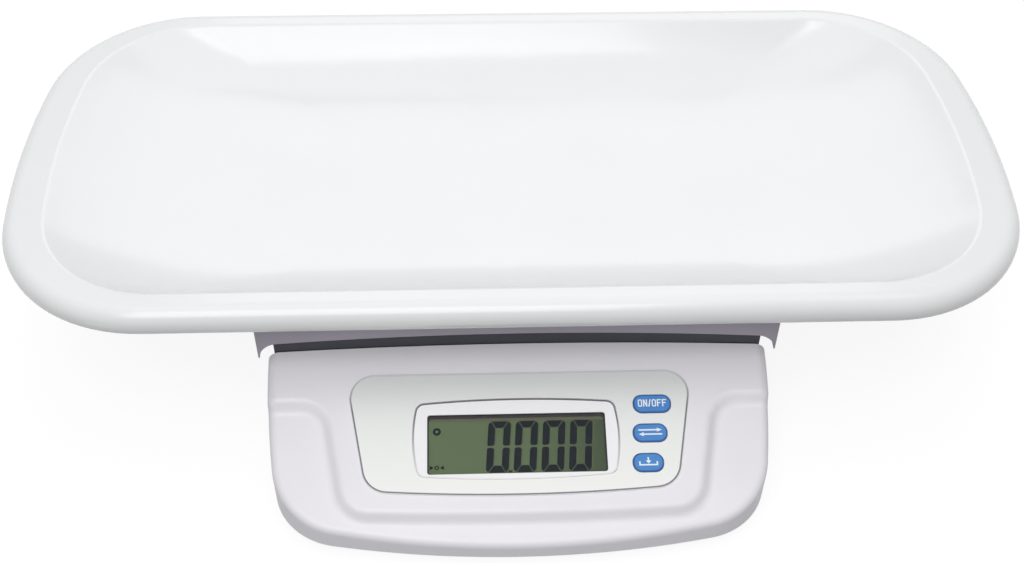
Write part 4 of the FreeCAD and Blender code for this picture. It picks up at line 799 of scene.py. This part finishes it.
def buildScrew(shape, island):
    # the wide end is the head, and its height is where the wide part stops
    low, high, centre = boxOf(island)
    shankEdge = (screws["shank"] + screws["shankSlack"]) * mm
    wide = [spot.z for spot in island if (spot - centre).to_2d().length > shankEdge]
    headUp = max(wide) > high.z - screws["endSlack"] * mm
    face, way = (high.z, -1) if headUp else (low.z, 1)
    neck, end = (min(wide), low.z) if headUp else (max(wide), high.z)
    rows = [(face + way * screws["deep"] * mm, lambda angle: crossReach(angle) * screws["floorShare"]),
            (face, crossReach), (face, screws["face"]),
            (face + way * screws["browHeight"] * mm, screws["brow"]),
            (face + way * screws["crown"] * mm, screws["head"]),
            (neck, screws["head"]), (neck, screws["shank"]),
            (end - way * screws["tipHeight"] * mm, screws["shank"]), (end, screws["tip"])]
    turned(shape, centre, rows, crossAngles())


# each row is a height above the foot's underside and a radius: a hollow, two grooves and a rounded flank
feet = {"rows": ((0.7, 2.6), (0.0, 3.3), (0.0, 5.8), (0.5, 6.1), (0.5, 6.7), (0.0, 7.0), (0.0, 8.4),
                 (0.5, 8.7), (0.5, 9.3), (0.0, 9.6), (0.0, 10.5), (0.35, 11.2), (0.9, 11.75), (1.5, 12.0),
                 (5.7, 12.0), (6.0, 11.7)), "turns": 72}


def buildFoot(shape, island):
    low, _, centre = boxOf(island)
    rows = [(low.z + height * mm, radius) for height, radius in feet["rows"]]
    turned(shape, centre, rows, evenAngles(feet["turns"]))


springs = {"wire": 0.4, "turns": 4.5, "steps": 26, "round": 8, "narrow": 2.8, "wide": 5.3, "flat": 0.75}


def buildSpring(shape, island):
    # a cone of wire along Y, with a flat stretch at each end
    low, high, centre = boxOf(island)
    wire, count = springs["wire"] * mm, springs["round"]
    steps = int(springs["turns"] * springs["steps"])
    rings = []
    for step in range(steps + 1):
        turn = step / springs["steps"]
        share = min(max((turn - springs["flat"]) / (springs["turns"] - 2 * springs["flat"]), 0), 1)
        reach = (springs["narrow"] + (springs["wide"] - springs["narrow"]) * share) * mm - wire
        along = low.y + wire + (high.y - low.y - 2 * wire) * share
        angle = 2 * math.pi * turn
        outward = Vector((math.cos(angle), 0, math.sin(angle)))
        middle = Vector((centre.x, along, centre.z)) + outward * reach
        rings.append([shape.verts.new(middle + wire * (outward * math.cos(b) + Vector((0, math.sin(b), 0))))
                      for b in evenAngles(count)])
    for first, second in zip(rings, rings[1:]):
        for here in range(count):
            after = (here + 1) % count
            shape.faces.new((first[here], first[after], second[after], second[here]))
    shape.faces.new(rings[0])
    shape.faces.new(list(reversed(rings[-1])))


doorMarks = {"ridges": 6, "pitch": 2.6, "first": 80.0, "wide": 34.0, "thick": 1.2, "corner": 0.54,
             "steps": 4, "proud": 0.5, "arrow": 72.0, "arrowHalf": 5.0, "arrowLong": 5.5}


def makeDoorGrip():
    # moulded ridges and an arrow on the underside of the battery door
    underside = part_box("battery_door")[0].z
    place = Matrix.Translation((0, loadAxisY, underside))
    half, thick = doorMarks["wide"] / 2, doorMarks["thick"]
    bars = []
    for number in range(doorMarks["ridges"]):
        y = doorMarks["first"] + number * doorMarks["pitch"]
        bars.append(softRectangle(-half, y, half, y + thick, doorMarks["corner"], doorMarks["steps"]))
    foot, arrowHalf = doorMarks["arrow"], doorMarks["arrowHalf"]
    bars.append([(-arrowHalf, foot), (arrowHalf, foot), (0, foot + doorMarks["arrowLong"])])
    plates("battery_door_grip", bars, -doorMarks["proud"], 0.0, "case_white", "battery_door",
           place)


screwBodies = {"case_screws": "base", "plate_screws": "base", "lower_cell_screws": "base",
               "upper_cell_screws": "platform", "platform_screws": "platform"}
for screwNode, screwBody in screwBodies.items():
    standIn(screwNode + "_crossed", screwNode, buildScrew, "screw_steel", screwBody)
standIn("feet_ringed", "feet", buildFoot, "foot_rubber", "base")
standIn("battery_springs_coiled", "battery_springs", buildSpring, "contact_plating", "base")
makeDoorGrip()
print("stage: fasteners, feet, springs and door")
